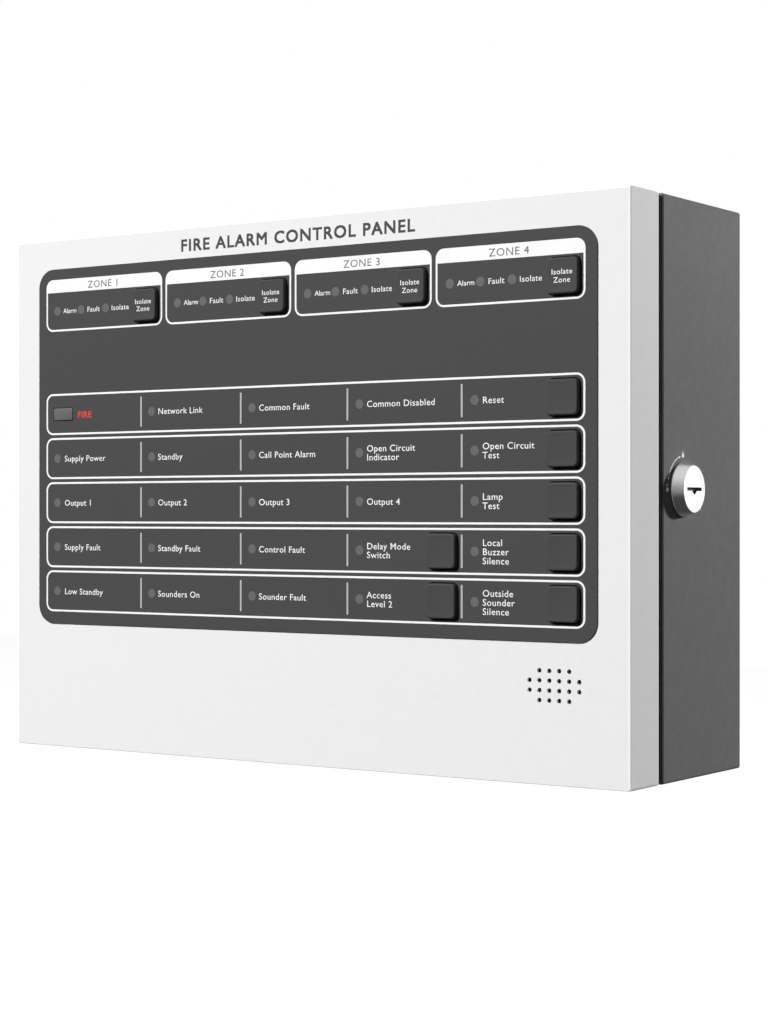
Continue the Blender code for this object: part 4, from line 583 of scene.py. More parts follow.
# ---- Keys and fire lamp ----
def make_key(name):
    """A rubber key with rounded corners, a soft top edge and a shallow dish, over its retaining flange."""
    low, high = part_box(name)
    x, z = centre_of(name)
    front, rear = low[1], FACE_Y + 1.8 * MM
    half, corner, soft, dish, draft = 8.4 * MM, 2.4 * MM, 0.7 * MM, 0.12 * MM, 0.1 * MM
    sides = [(half, rear), (half, FILM_Y), (half - draft, front + soft)]
    for i in range(1, 7):
        angle = math.radians(90 * i / 6)
        sides.append((half - draft - soft * (1 - math.cos(angle)), front + soft * (1 - math.sin(angle))))
    sides += [(half - 1.3 * MM, front + dish / 4), (half - 2.2 * MM, front + dish)]
    rings = []
    for reach, y in sides:
        radius = max(0.8 * MM, corner - (half - reach) * 0.7)
        rings.append([(px, y, pz) for px, pz in rounded_points(x - reach, x + reach, z - reach, z + reach, radius, 6)])
    bm = bmesh.new()
    add_rings(bm, rings)
    flange, stem, clear = 10.3 * MM, 5.5, 0.01 * MM
    outline = rounded_points(x - flange, x + flange, z - flange, z + flange, 1.5 * MM, 4)
    add_plate(bm, outline, FACE_Y + 1.5 * MM, FACE_Y + 2.5 * MM)
    add_turned(bm, profile(0, (0, 0), (4, 0), (4, 5), (3.4, stem), (0, stem)),
               (x, high[1] - stem * MM - clear, z), (0, 1, 0), 32)
    piece(f"{name}_cap", bm, KEY_RUBBER, f"{name}_body", replaces=name)
    if "zone" in name:
        ink_text(f"{name}_legend", "Isolate\nZone", x, z, 2.65 * MM, WHITE_INK, front + dish, body=f"{name}_body",
                 align="CENTER", pitch=SMALL_PITCH)


def make_key_gap_shade_lips():
    """Thin near-black rubber lips which line the door's key holes and hide the white sheet edge there: a dark liner
    that stands in for the shade in the gaps round the keys.
    """
    bm = bmesh.new()
    for name in KEY_NAMES:
        x, z = centre_of(name)
        outer, inner = (rounded_points(x - half, x + half, z - half, z + half, half / 3.5, 6)
                        for half in (8.97 * MM, 8.82 * MM))
        add_frame(bm, outer, inner, FILM_Y + 0.05 * MM, FACE_Y + 1.15 * MM)
    piece("key_gap_shade_lips", bm, SEAL_RUBBER_AND_GAP_SHADE, "door")


def make_fire_lens():
    low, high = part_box("fire_lens")
    reach = 1.6 * MM
    bm = bmesh.new()
    add_block(bm, (low[0] + reach, low[1], low[2] + reach), (high[0] - reach, high[1], high[2] - reach), 0.45 * MM, 3)
    add_block(bm, (low[0], FACE_Y + 1.5 * MM, low[2]), (high[0], FACE_Y + 2.5 * MM, high[2]), 0.2 * MM)
    piece("fire_lamp_lens", bm, LENS, "door", replaces="fire_lens")


# ---- Lock ----
LOCK_Y = sum(corner[1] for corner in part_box("lock_body")) / 2
LOCK_FACE_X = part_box("lock_body")[1][0]
LOCK_BASE_X = FACE_HIGH[0] + 0.3 * MM
BARREL_END_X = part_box("lock_body")[0][0]
DISC_RADIUS, DISC_LENGTH = 10.97 * MM, 0.8 * MM
KEYWAY_HALF = (7.5 * MM, 0.85 * MM)
NOTCH_HALF, NOTCH_TIP = 2.6 * MM, 2.75 * MM
KEYWAY_DEPTH = 2.4 * MM
SIGN_RADIUS = 15.9 * MM
BARREL_THREADS = 13


def make_lock():
    """The head and threaded barrel, and the plug with its face disc, key slot and square."""
    place = (0, LOCK_Y, 0)
    face, base = LOCK_FACE_X, LOCK_BASE_X
    pairs = profile(BARREL_END_X, (6.65, 0), (8.7, 0))
    for i in range(BARREL_THREADS):
        pairs += profile(BARREL_END_X + (0.5 + i) * MM, (9.0, 0), (9.0, 0.3), (8.6, 0.65))
    pairs += profile(base, (9.0, -4), (9.0, 0), (13.1, 0), (13.1, 0.55), (12.95, 0.85))
    pairs += profile(face, (11.4, -0.5), (11.2, -0.2), (11.05, -0.06))
    pairs += [(DISC_RADIUS + 0.03 * MM, face - 0.06 * MM), (DISC_RADIUS + 0.03 * MM, face - DISC_LENGTH - 0.1 * MM),
              (6.65 * MM, face - DISC_LENGTH - 0.1 * MM)]
    bm = bmesh.new()
    add_turned(bm, pairs, place, (1, 0, 0), 96)
    piece("lock_head", bm, SATIN_CHROME, "cabinet", replaces="lock_body", sharp=28)

    front = face - 0.04 * MM
    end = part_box("lock_plug")[0][0]
    bm = bmesh.new()
    pairs = [(0, front), (DISC_RADIUS - 0.15 * MM, front), (DISC_RADIUS, front - 0.12 * MM),
             (DISC_RADIUS, front - DISC_LENGTH), (6.5 * MM, front - DISC_LENGTH)]
    add_turned(bm, pairs + profile(BARREL_END_X, (6.5, -0.3), (0, -0.3)), place, (1, 0, 0), 96)
    plug = piece("lock_plug_face", bm, SATIN_CHROME, "lock", replaces="lock_plug")
    outline = [(-KEYWAY_HALF[0], KEYWAY_HALF[1]), (-KEYWAY_HALF[0], -KEYWAY_HALF[1]), (-NOTCH_HALF, -KEYWAY_HALF[1]),
               (0, -NOTCH_TIP), (NOTCH_HALF, -KEYWAY_HALF[1]), (KEYWAY_HALF[0], -KEYWAY_HALF[1]),
               (KEYWAY_HALF[0], KEYWAY_HALF[1])]
    slot = bmesh.new()
    add_rings(slot, [[(x, LOCK_Y + u, w) for u, w in outline] for x in (front - KEYWAY_DEPTH, front + MM)])
    # The slot's cut faces take the dark grey of the painted shade.
    cut_away(plug, slot, KEYWAY_SHADE)
    bm = bmesh.new()
    add_block(bm, (end, LOCK_Y - 3 * MM, -3 * MM), (BARREL_END_X, LOCK_Y + 3 * MM, 3 * MM), 0.3 * MM)
    piece("lock_plug_square", bm, STEEL, "lock")


def add_padlock(bm, u, w, lifted):
    """A printed padlock sign: a body and a shackle, which is lifted and swung aside when open."""
    half, thick = 1.1 * MM, 0.36 * MM
    add_plate(bm, rounded_points(u - half, u + half, w - 1.5 * MM, w + 0.2 * MM, 0.3 * MM, 3), -INK, 0)
    rise = 0.75 * MM if lifted else 0.0
    inner, outer = 0.45 * MM, 0.45 * MM + thick
    arch = [math.pi * i / 10 for i in range(11)]
    top = w + 0.55 * MM + rise
    points = [(u + outer * math.cos(a), top + outer * math.sin(a)) for a in arch]
    points.append((u - outer, w + 0.1 * MM))
    points.append((u - inner, w + 0.1 * MM))
    points += [(u + inner * math.cos(a), top + inner * math.sin(a)) for a in arch[::-1]]
    if not lifted:
        points += [(u + inner, w + 0.1 * MM), (u + outer, w + 0.1 * MM)]
    add_plate(bm, points, -INK, 0)


def make_lock_prints():
    """The turning arc on the right wall, from an open padlock in front of the lock to a closed one above it."""
    bm = bmesh.new()
    radius, half = SIGN_RADIUS - 0.4 * MM, 0.22 * MM
    angles = [math.radians(104 + 56 * i / 20) for i in range(21)]
    points = [((radius + half) * math.cos(a), (radius + half) * math.sin(a)) for a in angles]
    points += [((radius - half) * math.cos(a), (radius - half) * math.sin(a)) for a in angles[::-1]]
    add_plate(bm, points, -INK, 0)
    for angle, ahead in ((angles[0], -1), (angles[-1], 1)):
        tip = angle + ahead * 0.075
        corners = [(radius * math.cos(tip), radius * math.sin(tip))]
        for reach in (radius + 0.75 * MM, radius - 0.75 * MM):
            corners.append((reach * math.cos(angle), reach * math.sin(angle)))
        add_plate(bm, corners, -INK, 0)
    add_padlock(bm, -SIGN_RADIUS, 0.3 * MM, True)
    add_padlock(bm, 0, SIGN_RADIUS + 0.6 * MM, False)
    stand = Matrix.Translation((FACE_HIGH[0], LOCK_Y, 0)) @ Matrix.Rotation(math.pi / 2, 4, "Z")
    bmesh.ops.transform(bm, matrix=stand, verts=bm.verts[:])
    piece("lock_turn_marks", bm, WHITE_INK, "cabinet", smooth=False)


# ---- Fixings and hinges ----
def add_loop(bm, rings):
    """Joins rings of points into a closed tube whose last ring meets its first."""
    made = [[bm.verts.new(point) for point in ring] for ring in rings]
    for first, second in zip(made, made[1:] + made[:1]):
        for i in range(len(first)):
            n = (i + 1) % len(first)
            bm.faces.new((first[i], first[n], second[n], second[i]))


def make_nut(name, body, axis, bore):
    """A chamfered hexagon nut in place of a CAD one; its corners point up and down."""
    low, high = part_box(name)
    centre, radius = (low + high) / 2, (high[2] - low[2]) / 2
    axis, up = Vector(axis), Vector((0, 0, 1))
    height = abs((high - low).dot(axis))
    start, across = centre - axis * height / 2, axis.cross(up)
    flat, count = 0.86 * radius, 72

    def ring(reach, rise):
        points = []
        for i in range(count):
            angle = math.tau * i / count
            hexagon = radius * math.cos(math.pi / 6) / math.cos(angle % (math.pi / 3) - math.pi / 6)
            r, h = reach(hexagon), rise(max(0.0, hexagon - flat) * 0.6)
            points.append(start + axis * h + r * (up * math.cos(angle) + across * math.sin(angle)))
        return points

    bm = bmesh.new()
    add_loop(bm, [
        ring(lambda r: bore, lambda c: 0.0), ring(lambda r: min(r, flat), lambda c: 0.0),
        ring(lambda r: r, lambda c: c), ring(lambda r: r, lambda c: height - c),
        ring(lambda r: min(r, flat), lambda c: height), ring(lambda r: bore, lambda c: height),
    ])
    piece(f"{name}_hexagon", bm, STEEL, body, replaces=name, sharp=25)


def add_slotted_head(bm, x, z, front_y, rear_y, radius):
    """A screw head in the XZ plane, in two halves either side of its slot."""
    opening = math.radians(9)
    for turn in (math.radians(25), math.radians(205)):
        angles = [turn + opening + (math.pi - 2 * opening) * i / 12 for i in range(13)]
        add_plate(bm, [(x + radius * math.cos(a), z + radius * math.sin(a)) for a in angles], front_y, rear_y)
    add_plate(bm, circle(x, z, 0.9 * radius, 24), front_y + 0.3 * (rear_y - front_y), rear_y)


def make_bracket_screw(name):
    low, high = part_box(name)
    (x, z), front = centre_of(name), low[1]
    bm = bmesh.new()
    pairs = profile(front, (0, 0), (1.6, 0.06), (2.7, 0.4), (3.35, 1.0), (3.6, 1.7), (3.6, 2.2), (1.9, 2.2))
    add_turned(bm, pairs + profile(high[1], (1.9, 0), (0, 0)), (x, 0, z), (0, 1, 0), 40)
    screw = piece(f"{name}_pan_head", bm, STEEL, "cabinet", replaces=name)
    arm, half = 1.9 * MM, 0.42 * MM
    cross = [(half, arm), (-half, arm), (-half, half), (-arm, half), (-arm, -half), (-half, -half),
             (-half, -arm), (half, -arm), (half, -half), (arm, -half), (arm, half), (half, half)]
    cutter = bmesh.new()
    add_rings(cutter, [[(x + i, y, z + k) for i, k in cross] for y in (front - MM, front + 1.3 * MM)])
    cut_away(screw, cutter, STEEL)


def make_hinge(place):
    """Finer leaves, knuckles and pin in place of the CAD ones, in the same room."""
    for side, body in (("box", "cabinet"), ("door", "door")):
        name = f"hinge_leaf_{side}_{place}"
        low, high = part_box(name)
        pin_low, pin_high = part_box(f"hinge_pin_{place}")
        axis_x, axis_y = (pin_low[0] + pin_high[0]) / 2, (pin_low[1] + pin_high[1]) / 2
        end, gap = 15 * MM, 0.3 * MM
        outer, inner = high[0] - 1.2 * MM, high[0]
        bm = bmesh.new()
        if side == "box":
            add_block(bm, (outer, axis_y + 3.5 * MM, low[2]), (inner, high[1], high[2]), 0.3 * MM)
            knuckles = ((low[2], low[2] + end), (high[2] - end, high[2]))
            strip = (axis_y + MM, axis_y + 5 * MM)
        else:
            add_block(bm, (outer, low[1], low[2]), (inner, axis_y - 3.5 * MM, high[2]), 0.3 * MM)
            knuckles = ((low[2] + end + gap, high[2] - end - gap),)
            strip = (axis_y - 5 * MM, axis_y - MM)
        for bottom, top in knuckles:
            add_block(bm, (outer, strip[0], bottom), (inner, strip[1], top), 0.2 * MM)
            bore, radius, edge = 1.65 * MM, 2.98 * MM, 0.25 * MM
            add_turned(bm, [(bore, bottom), (radius - edge, bottom), (radius, bottom + edge), (radius, top - edge),
                            (radius - edge, top), (bore, top)], (axis_x, axis_y, 0), (0, 0, 1), 40)
        piece(f"{name}_rolled", bm, STEEL, body, replaces=name)
    bm = bmesh.new()
    pairs = profile(pin_high[2], (0, 0), (1.5, -0.1), (2.2, -0.5), (2.4, -1.2), (1.5, -1.2))
    add_turned(bm, pairs + profile(pin_low[2], (1.5, 0.3), (1.2, 0), (0, 0)), (axis_x, axis_y, 0), (0, 0, 1), 40)
    piece(f"hinge_pin_{place}_domed", bm, STEEL, "cabinet", replaces=f"hinge_pin_{place}")


# ---- Boards ----
RUN_WIDTH, RUN_DEPTH = 0.5 * MM, 0.05 * MM
HEADER_PITCH, CHIP_PITCH = 3.2 * MM, 1.3 * MM


def add_track(bm, points, width, low_y, high_y):
    """A copper run under the solder mask: a flat strip along straight legs, which overlap at the bends."""
    for (x0, z0), (x1, z1) in zip(points, points[1:]):
        along = Vector((x1 - x0, z1 - z0)).normalized() * width / 2
        side = Vector((-along.y, along.x))
        corners = [Vector((x0, z0)) - along + side, Vector((x0, z0)) - along - side,
                   Vector((x1, z1)) + along - side, Vector((x1, z1)) + along + side]
        add_plate(bm, [(c.x, c.y) for c in corners], low_y, high_y)


def add_track_bundle(bm, start, end, count, pitch, knee, surface, out):
    """Parallel runs from a row at start to a row at end, each with a 45 degree jog at the height knee."""
    for i in range(count):
        x0, x1 = start[0] + (i - (count - 1) / 2) * pitch, end[0] + (i - (count - 1) / 2) * pitch
        shift = x1 - x0
        turn = knee - i * pitch * (1 if shift > 0 else -1)
        step = abs(shift) if end[1] > start[1] else -abs(shift)
        add_track(bm, [(x0, start[1]), (x0, turn), (x1, turn + step), (x1, end[1])], RUN_WIDTH,
                  *sorted((surface, surface + out)))


def add_pins(bm, centre, size, count, surface, out, both_ways=False):
    """Rows of flat leads on two sides, or all four, of a chip."""
    (x, z), (width, height) = centre, size
    reach, thick = 1.1 * MM, 0.35 * MM
    levels = sorted((surface, surface + out * thick))
    for i in range(count):
        for side in (-1, 1):
            along = (i - (count - 1) / 2) * 0.8 * width / count
            low, high = sorted((z + side * height / 2, z + side * (height / 2 + reach)))
            add_plate(bm, [(x + along - 0.2 * MM, low), (x + along + 0.2 * MM, low), (x + along + 0.2 * MM, high),
                           (x + along - 0.2 * MM, high)], *levels)
            if both_ways:
                along = (i - (count - 1) / 2) * 0.8 * height / count
                low, high = sorted((x + side * width / 2, x + side * (width / 2 + reach)))
                add_plate(bm, [(low, z + along - 0.2 * MM), (high, z + along - 0.2 * MM), (high, z + along + 0.2 * MM),
                               (low, z + along + 0.2 * MM)], *levels)


def add_small_parts(bodies, ends, places, surface, out):
    """Rows of small surface parts, each a body between two bright ends."""
    for x, z, upright in places:
        wide, tall = (0.6 * MM, 1.1 * MM) if upright else (1.1 * MM, 0.6 * MM)
        levels = sorted((surface, surface + out * 0.7 * MM))
        add_plate(bodies, oblong(x, z, wide, tall), *levels)
        for side in (-1, 1):
            cx, cz = (x, z + side * 1.25 * MM) if upright else (x + side * 1.25 * MM, z)
            wide_end, tall_end = (0.6 * MM, 0.3 * MM) if upright else (0.3 * MM, 0.6 * MM)
            add_plate(ends, oblong(cx, cz, wide_end, tall_end), *levels)


def add_joint(bm, x, z, surface, out, radius=0.9 * MM):
    """A solder joint: a small dome on a pad."""
    pairs = [(0, 0.55 * MM), (0.35 * radius, 0.45 * MM), (0.75 * radius, 0.15 * MM), (radius, 0.05 * MM),
             (radius, 0), (0, 0)]
    add_turned(bm, pairs, (x, surface, z), (0, out, 0), 12)


def board_outline(low, high):
    return rounded_points(low[0], high[0], low[2], high[2], 2 * MM, 4)


MAIN_FRONT, MAIN_REAR = -13.0 * MM, -11.4 * MM
CONTROLLER = ((-40 * MM, 45 * MM), (14 * MM, 14 * MM))
DRIVER = ((-75 * MM, 45 * MM), (10 * MM, 8 * MM))
MAIN_HEADER = ((-152 * MM, 45 * MM), (9 * MM, 32 * MM))
STRIPS = (("terminal_strip_zones", 16, 1), ("terminal_strip_outputs", 12, -1))
TERMINAL_PITCH = 5.08 * MM


def make_main_board():
    low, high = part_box("main_board")
    front, out = MAIN_FRONT, -1
    bm = bmesh.new()
    add_plate(bm, board_outline(low, high), front, MAIN_REAR)
    piece("main_board_plate", bm, BOARD, "cabinet", smooth=False, replaces="main_board")

    tracks = bmesh.new()
    for x0, z0, x1, z1, count, knee in ((-46, 53, -62, 96, 10, 62), (-33, 53, -25, 96, 6, 76),
                                        (-75, 40, -68, 20, 6, 34), (-40, 37, -22, -7, 8, 28)):
        add_track_bundle(tracks, (x0 * MM, z0 * MM), (x1 * MM, z1 * MM), count, CHIP_PITCH, knee * MM, front,
                         -RUN_DEPTH)
    for i in range(8):
        z, chip_z = 33 * MM + i * HEADER_PITCH, 40 * MM + i * CHIP_PITCH
        add_track(tracks, [(-147 * MM, z), (-112 * MM, z), (-106 * MM, chip_z), (-81 * MM, chip_z)], RUN_WIDTH,
                  front - RUN_DEPTH, front)
    for z in (20 * MM, 60 * MM):
        for k in (-1, 1):
            level = z + k * 3 * MM
            add_track(tracks, [(52 * MM, level), (34 * MM, level), (20 * MM, level + 8 * MM)], 4 * RUN_WIDTH,
                      front - RUN_DEPTH, front)
    piece("main_board_tracks", tracks, TRACK, "cabinet", smooth=False)

    black, bright, ivory = bmesh.new(), bmesh.new(), bmesh.new()
    for (place, size), depth, count, four in ((CONTROLLER, 1.6 * MM, 14, True), (DRIVER, 1.8 * MM, 7, False)):
        add_chip(black, place, size, front - depth, front - 0.1 * MM, 0.25 * MM)
        add_pins(bright, place, size, count, front, out, four)
    parts = [(-99 * MM + i * TERMINAL_PITCH, 91 * MM, True) for i in range(16)]
    parts += [(-60 * MM + i * 4 * MM, 60 * MM + (i % 2) * 4 * MM, False) for i in range(9)]
    parts += [(-110 * MM + i * 5 * MM, 26 * MM, True) for i in range(6)]
    parts += [(-20 * MM + i * 5 * MM, 40 * MM + (i % 3) * 3 * MM, True) for i in range(8)]
    add_small_parts(black, bright, parts, front, out)
    for i in range(3):
        x = -90 * MM + i * 22 * MM
        for k in (-1, 0, 1):
            add_joint(bright, x + k * 5 * MM, -3 * MM, front, out)
    for x, z in ((-40 * MM, 60 * MM), (24 * MM, 50 * MM), (-110 * MM, 84 * MM)):
        add_turned(bright, profile(0, (0, 3.4), (4.2, 3.4), (5, 2.8), (5, 0.1), (0, 0.1)), (x, front, z),
                   (0, out, 0), 28)
    add_chip(ivory, *MAIN_HEADER, front - 6 * MM, front, 0.5 * MM)
    for z in (60 * MM, 20 * MM):
        add_chip(ivory, (54 * MM, z), (9 * MM, 12 * MM), front - 9 * MM, front, 0.6 * MM)
    piece("main_board_chips", black, BLACK_PLASTIC, "cabinet")
    piece("main_board_solder", bright, SOLDER, "cabinet")
    piece("main_board_sockets", ivory, IVORY_PLASTIC, "cabinet")

    bm = bmesh.new()
    for x in (-90 * MM, -68 * MM, -46 * MM):
        add_chip(bm, (x, 10 * MM), (15.5 * MM, 19 * MM), front - 14.6 * MM, front - 0.3 * MM, 0.9 * MM)
        add_chip(bm, (x, 10 * MM), (11 * MM, 14 * MM), front - 15 * MM, front - 14 * MM, 0.3 * MM)
    piece("main_board_relays", bm, BLUE_PLASTIC, "cabinet")
    sleeves, tops = bmesh.new(), bmesh.new()
    for x, z in ((30 * MM, 78 * MM), (42 * MM, 78 * MM), (10 * MM, 20 * MM), (24 * MM, 20 * MM)):
        add_capacitor(sleeves, tops, (x, front, z), 5 * MM, 13 * MM)
    piece("main_board_capacitor_sleeves", sleeves, BLACK_PLASTIC, "cabinet")
    piece("main_board_capacitor_tops", tops, ALUMINIUM, "cabinet")
    bm = bmesh.new()
    for k in range(7):
        add_turned(bm, profile(1.2 * MM + k * 0.85 * MM, (2.5, 0), (4.9, 0), (5.2, 0.4), (4.9, 0.8), (2.5, 0.8)),
                   (10 * MM, front, 78 * MM), (0, out, 0), 36)
    piece("main_board_coil", bm, COPPER, "cabinet")
    bm = bmesh.new()
    add_chip(bm, (10 * MM, 78 * MM), (12 * MM, 12 * MM), front - 1.2 * MM, front, 0.3 * MM)
    add_turned(bm, profile(0, (0, 8), (2.3, 8), (2.4, 1), (0, 1)), (10 * MM, front, 78 * MM), (0, out, 0), 24)
    piece("main_board_coil_core", bm, BLACK_PLASTIC, "cabinet")


def add_capacitor(sleeves, tops, place, radius, height):
    """An upright can in a sleeve, with a groove near its foot and a bare top."""
    rim = height - 0.1 * MM
    sleeve = [(0, 0.1 * MM), (radius * 0.96, 0.1 * MM), (radius, 0.5 * MM), (radius, 1.6 * MM),
              (radius * 0.93, 2.1 * MM), (radius, 2.6 * MM), (radius, height - 0.5 * MM), (radius * 0.94, rim),
              (radius * 0.8, rim), (radius * 0.8, height - 0.6 * MM), (0, height - 0.6 * MM)]
    add_turned(sleeves, sleeve, place, (0, -1, 0), 36)
    add_turned(tops, [(0, height - 0.15 * MM), (radius * 0.79, height - 0.15 * MM), (radius * 0.79, height - 0.5 * MM),
                      (0, height - 0.5 * MM)], place, (0, -1, 0), 36)


def make_terminal_strip(name, ways, side):
    """A row of screw terminals: wire pockets on one long side and a round well with a slotted screw for each way."""
    low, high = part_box(name)
    bm = bmesh.new()
    add_block(bm, low, high, 0.35 * MM)
    strip = piece(f"{name}_block", bm, TERMINAL, "cabinet", replaces=name)
    wells, screws = bmesh.new(), bmesh.new()
    z = (low[2] + high[2]) / 2 - side * MM
    mouth = high[2] if side > 0 else low[2]
    for i in range(ways):
        x = low[0] + (i + 0.5) * TERMINAL_PITCH
        add_plate(wells, circle(x, z, 1.7 * MM, 24), low[1] - MM, low[1] + 2 * MM)
        ends = sorted((mouth - side * 2.6 * MM, mouth + side * MM))
        corners = [(x - 1.7 * MM, ends[0]), (x + 1.7 * MM, ends[0]), (x + 1.7 * MM, ends[1]), (x - 1.7 * MM, ends[1])]
        add_plate(wells, corners, high[1] - 5.5 * MM, high[1] - 2 * MM)
        add_slotted_head(screws, x, z, low[1] + 0.9 * MM, low[1] + 1.9 * MM, 1.5 * MM)
    cut_away(strip, wells, TERMINAL)
    piece(f"{name}_screws", screws, STEEL, "cabinet")


def make_display_board():
    low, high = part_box("display_board")
    front, rear = FACE_Y + 9.5 * MM, FACE_Y + 11.1 * MM
    bm = bmesh.new()
    add_plate(bm, board_outline(low, high), front, rear)
    piece("display_board_plate", bm, BOARD, "door", smooth=False, replaces="display_board")
    lights, black, bright, ivory, tracks = (bmesh.new() for _ in range(5))

    def run(*points):
        add_track(tracks, points, RUN_WIDTH, rear, rear + RUN_DEPTH)

    small = []
    for u, v in LED_PLACES:
        x, z = face_x(u), face_z(v)
        add_turned(lights, profile(0, (0, 7.6), (0.9, 7.3), (1.4, 6.4), (1.5, 1.2), (1.5, 0), (0, 0)), (x, front, z),
                   (0, -1, 0), 16)
        for side in (-1, 1):
            add_joint(bright, x + side * 1.27 * MM, z, rear, 1, 0.75 * MM)
        small.append((x, z - 6 * MM, False))
        run((x - 1.27 * MM, z), (x - 1.27 * MM, z - 6 * MM))
        run((x + 1.27 * MM, z - 6 * MM), (x + 6 * MM, z - 10 * MM))
    for name in KEY_NAMES:
        x, z = centre_of(name)
        for i in (-1, 1):
            leg = x + i * 3.25 * MM
            for k in (-1, 1):
                add_joint(bright, leg, z + k * 2.25 * MM, rear, 1)
            run((leg, z - 2.25 * MM), (leg, z - 9 * MM))
    small += [(-28 * MM + i * 4 * MM, 6 * MM, True) for i in range(5)]
    small += [(40 * MM + i * 4 * MM, 8 * MM, True) for i in range(8)]
    add_small_parts(black, bright, small, rear, 1)
    chips = [((-20 * MM, 20 * MM), (14 * MM, 14 * MM), 1.6 * MM, 14, True)]
    chips += [((x, 20 * MM), (10 * MM, 8 * MM), 1.8 * MM, 7, False) for x in (-55 * MM, 25 * MM, 60 * MM)]
    for place, size, depth, count, four in chips:
        add_chip(black, place, size, rear + 0.1 * MM, rear + depth, 0.25 * MM)
        add_pins(bright, place, size, count, rear, 1, four)
    add_chip(ivory, (-140 * MM, 25 * MM), (9 * MM, 32 * MM), rear, rear + 6 * MM, 0.5 * MM)
    for i in range(8):
        z, chip_z = 14 * MM + i * HEADER_PITCH, i * CHIP_PITCH
        run((-135 * MM, z), (-100 * MM, z), (-90 * MM, 8 * MM + chip_z), (-66 * MM, 8 * MM + chip_z))
        run((-12 * MM, 14 * MM + chip_z), (18 * MM, 14 * MM + chip_z))
        run((66 * MM, 16 * MM + i * MM), (100 * MM, 16 * MM + i * MM), (130 * MM, 34 * MM + i * MM))
    piece("display_board_lights", lights, NYLON, "door")
    piece("display_board_chips", black, BLACK_PLASTIC, "door")
    piece("display_board_solder", bright, SOLDER, "door")
    piece("display_board_header", ivory, IVORY_PLASTIC, "door")
    piece("display_board_tracks", tracks, TRACK, "door", smooth=False)


def make_supply_board():
    low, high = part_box("power_supply_board")
    front, rear = -6 * MM, -4.4 * MM
    bm = bmesh.new()
    add_plate(bm, board_outline(low, high), front, rear)
    piece("power_supply_plate", bm, BOARD, "cabinet", smooth=False, replaces="power_supply_board")
    bm = bmesh.new()
    add_chip(bm, (104 * MM, 62 * MM), (26 * MM, 28 * MM), front - 4 * MM, front - 16 * MM, 1.2 * MM)
    piece("power_supply_winding", bm, TAPE, "cabinet")
    bm = bmesh.new()
    for z in (50 * MM, 74 * MM):
        add_chip(bm, (104 * MM, z), (26 * MM, 4 * MM), front - 20 * MM, front - 0.2 * MM, 0.5 * MM)
    add_chip(bm, (104 * MM, 62 * MM), (9 * MM, 27 * MM), front - 19.6 * MM, front - 15.6 * MM, 0.5 * MM)
    piece("power_supply_core", bm, BLACK_PLASTIC, "cabinet")
    bm = bmesh.new()
    for i in range(7):
        fin = 134.2 * MM + i * 1.9 * MM
        add_chip(bm, (fin, 66 * MM), (0.9 * MM, 40 * MM), front - 18 * MM, front - 0.2 * MM, 0.2 * MM)
    add_chip(bm, (140 * MM, 66 * MM), (14 * MM, 40 * MM), front - 3 * MM, front - 0.3 * MM, 0.2 * MM)
    piece("power_supply_heat_sink", bm, ALUMINIUM, "cabinet")
    bm = bmesh.new()
    add_chip(bm, (98 * MM, 95 * MM), (20 * MM, 14 * MM), front - 15 * MM, front - 0.1 * MM, 0.8 * MM)
    add_chip(bm, (120 * MM, 24 * MM), (46 * MM, 12 * MM), front - 12 * MM, front - 0.1 * MM, 0.6 * MM)
    piece("power_supply_filter_and_socket", bm, IVORY_PLASTIC, "cabinet")
    sleeves, tops = bmesh.new(), bmesh.new()
    for x, z in ((128 * MM, 92 * MM), (142 * MM, 96 * MM)):
        add_capacitor(sleeves, tops, (x, front, z), 5.5 * MM, 20 * MM)
    piece("power_supply_capacitor_sleeves", sleeves, BLACK_PLASTIC, "cabinet")
    piece("power_supply_capacitor_tops", tops, ALUMINIUM, "cabinet")


def make_mains_block():
    low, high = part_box("mains_terminal_block")
    rear, split = high[1], low[0] + 36 * MM
    bm = bmesh.new()
    add_block(bm, low, (split, rear, high[2]), 0.8 * MM)
    block = piece("mains_block_body", bm, BLACK_PLASTIC, "cabinet", replaces="mains_terminal_block")
    wells, screws = bmesh.new(), bmesh.new()
    z = (low[2] + high[2]) / 2
    for i in range(3):
        x = low[0] + (i + 0.5) * 12 * MM
        add_plate(wells, circle(x, z, 3 * MM, 28), low[1] - MM, low[1] + 4 * MM)
        for mouth in (low[2], high[2]):
            add_plate(wells, oblong(x, mouth, 2.5 * MM, 4 * MM), rear - 10 * MM, rear - 5 * MM)
        add_slotted_head(screws, x, z, low[1] + 1.6 * MM, low[1] + 3.4 * MM, 2.6 * MM)
    cut_away(block, wells, BLACK_PLASTIC)
    piece("mains_block_screws", screws, STEEL, "cabinet")
    bm = bmesh.new()
    add_block(bm, (split - 0.2 * MM, rear - 10 * MM, z - 6 * MM), (high[0], rear, z + 6 * MM), 0.8 * MM)
    pairs = profile(high[0], (0, 0), (3.4, 0), (4.4, -1)) + profile(split, (4.5, 2), (0, 2))
    add_turned(bm, pairs, (0, rear - 10 * MM, z), (1, 0, 0), 36)
    piece("mains_fuse_carrier", bm, BLACK_PLASTIC, "cabinet")
    bm = bmesh.new()
    for x in (low[0] + 6 * MM, low[0] + 30 * MM):
        add_plate(bm, circle(x, high[2] - 2.6 * MM, 0.8 * MM, 20), low[1] - INK / 2, low[1] + INK)
    piece("mains_block_marks", bm, WHITE_INK, "cabinet", smooth=False)


# ---- Batteries and leads ----
def add_upright(bm, x, y, size, low_z, high_z, edge, segments=2):
    """An upright block given by its centre and size in plan and by its two heights."""
    reach, depth = size[0] / 2, size[1] / 2
    add_block(bm, (x - reach, y - depth, low_z), (x + reach, y + depth, high_z), edge, segments)


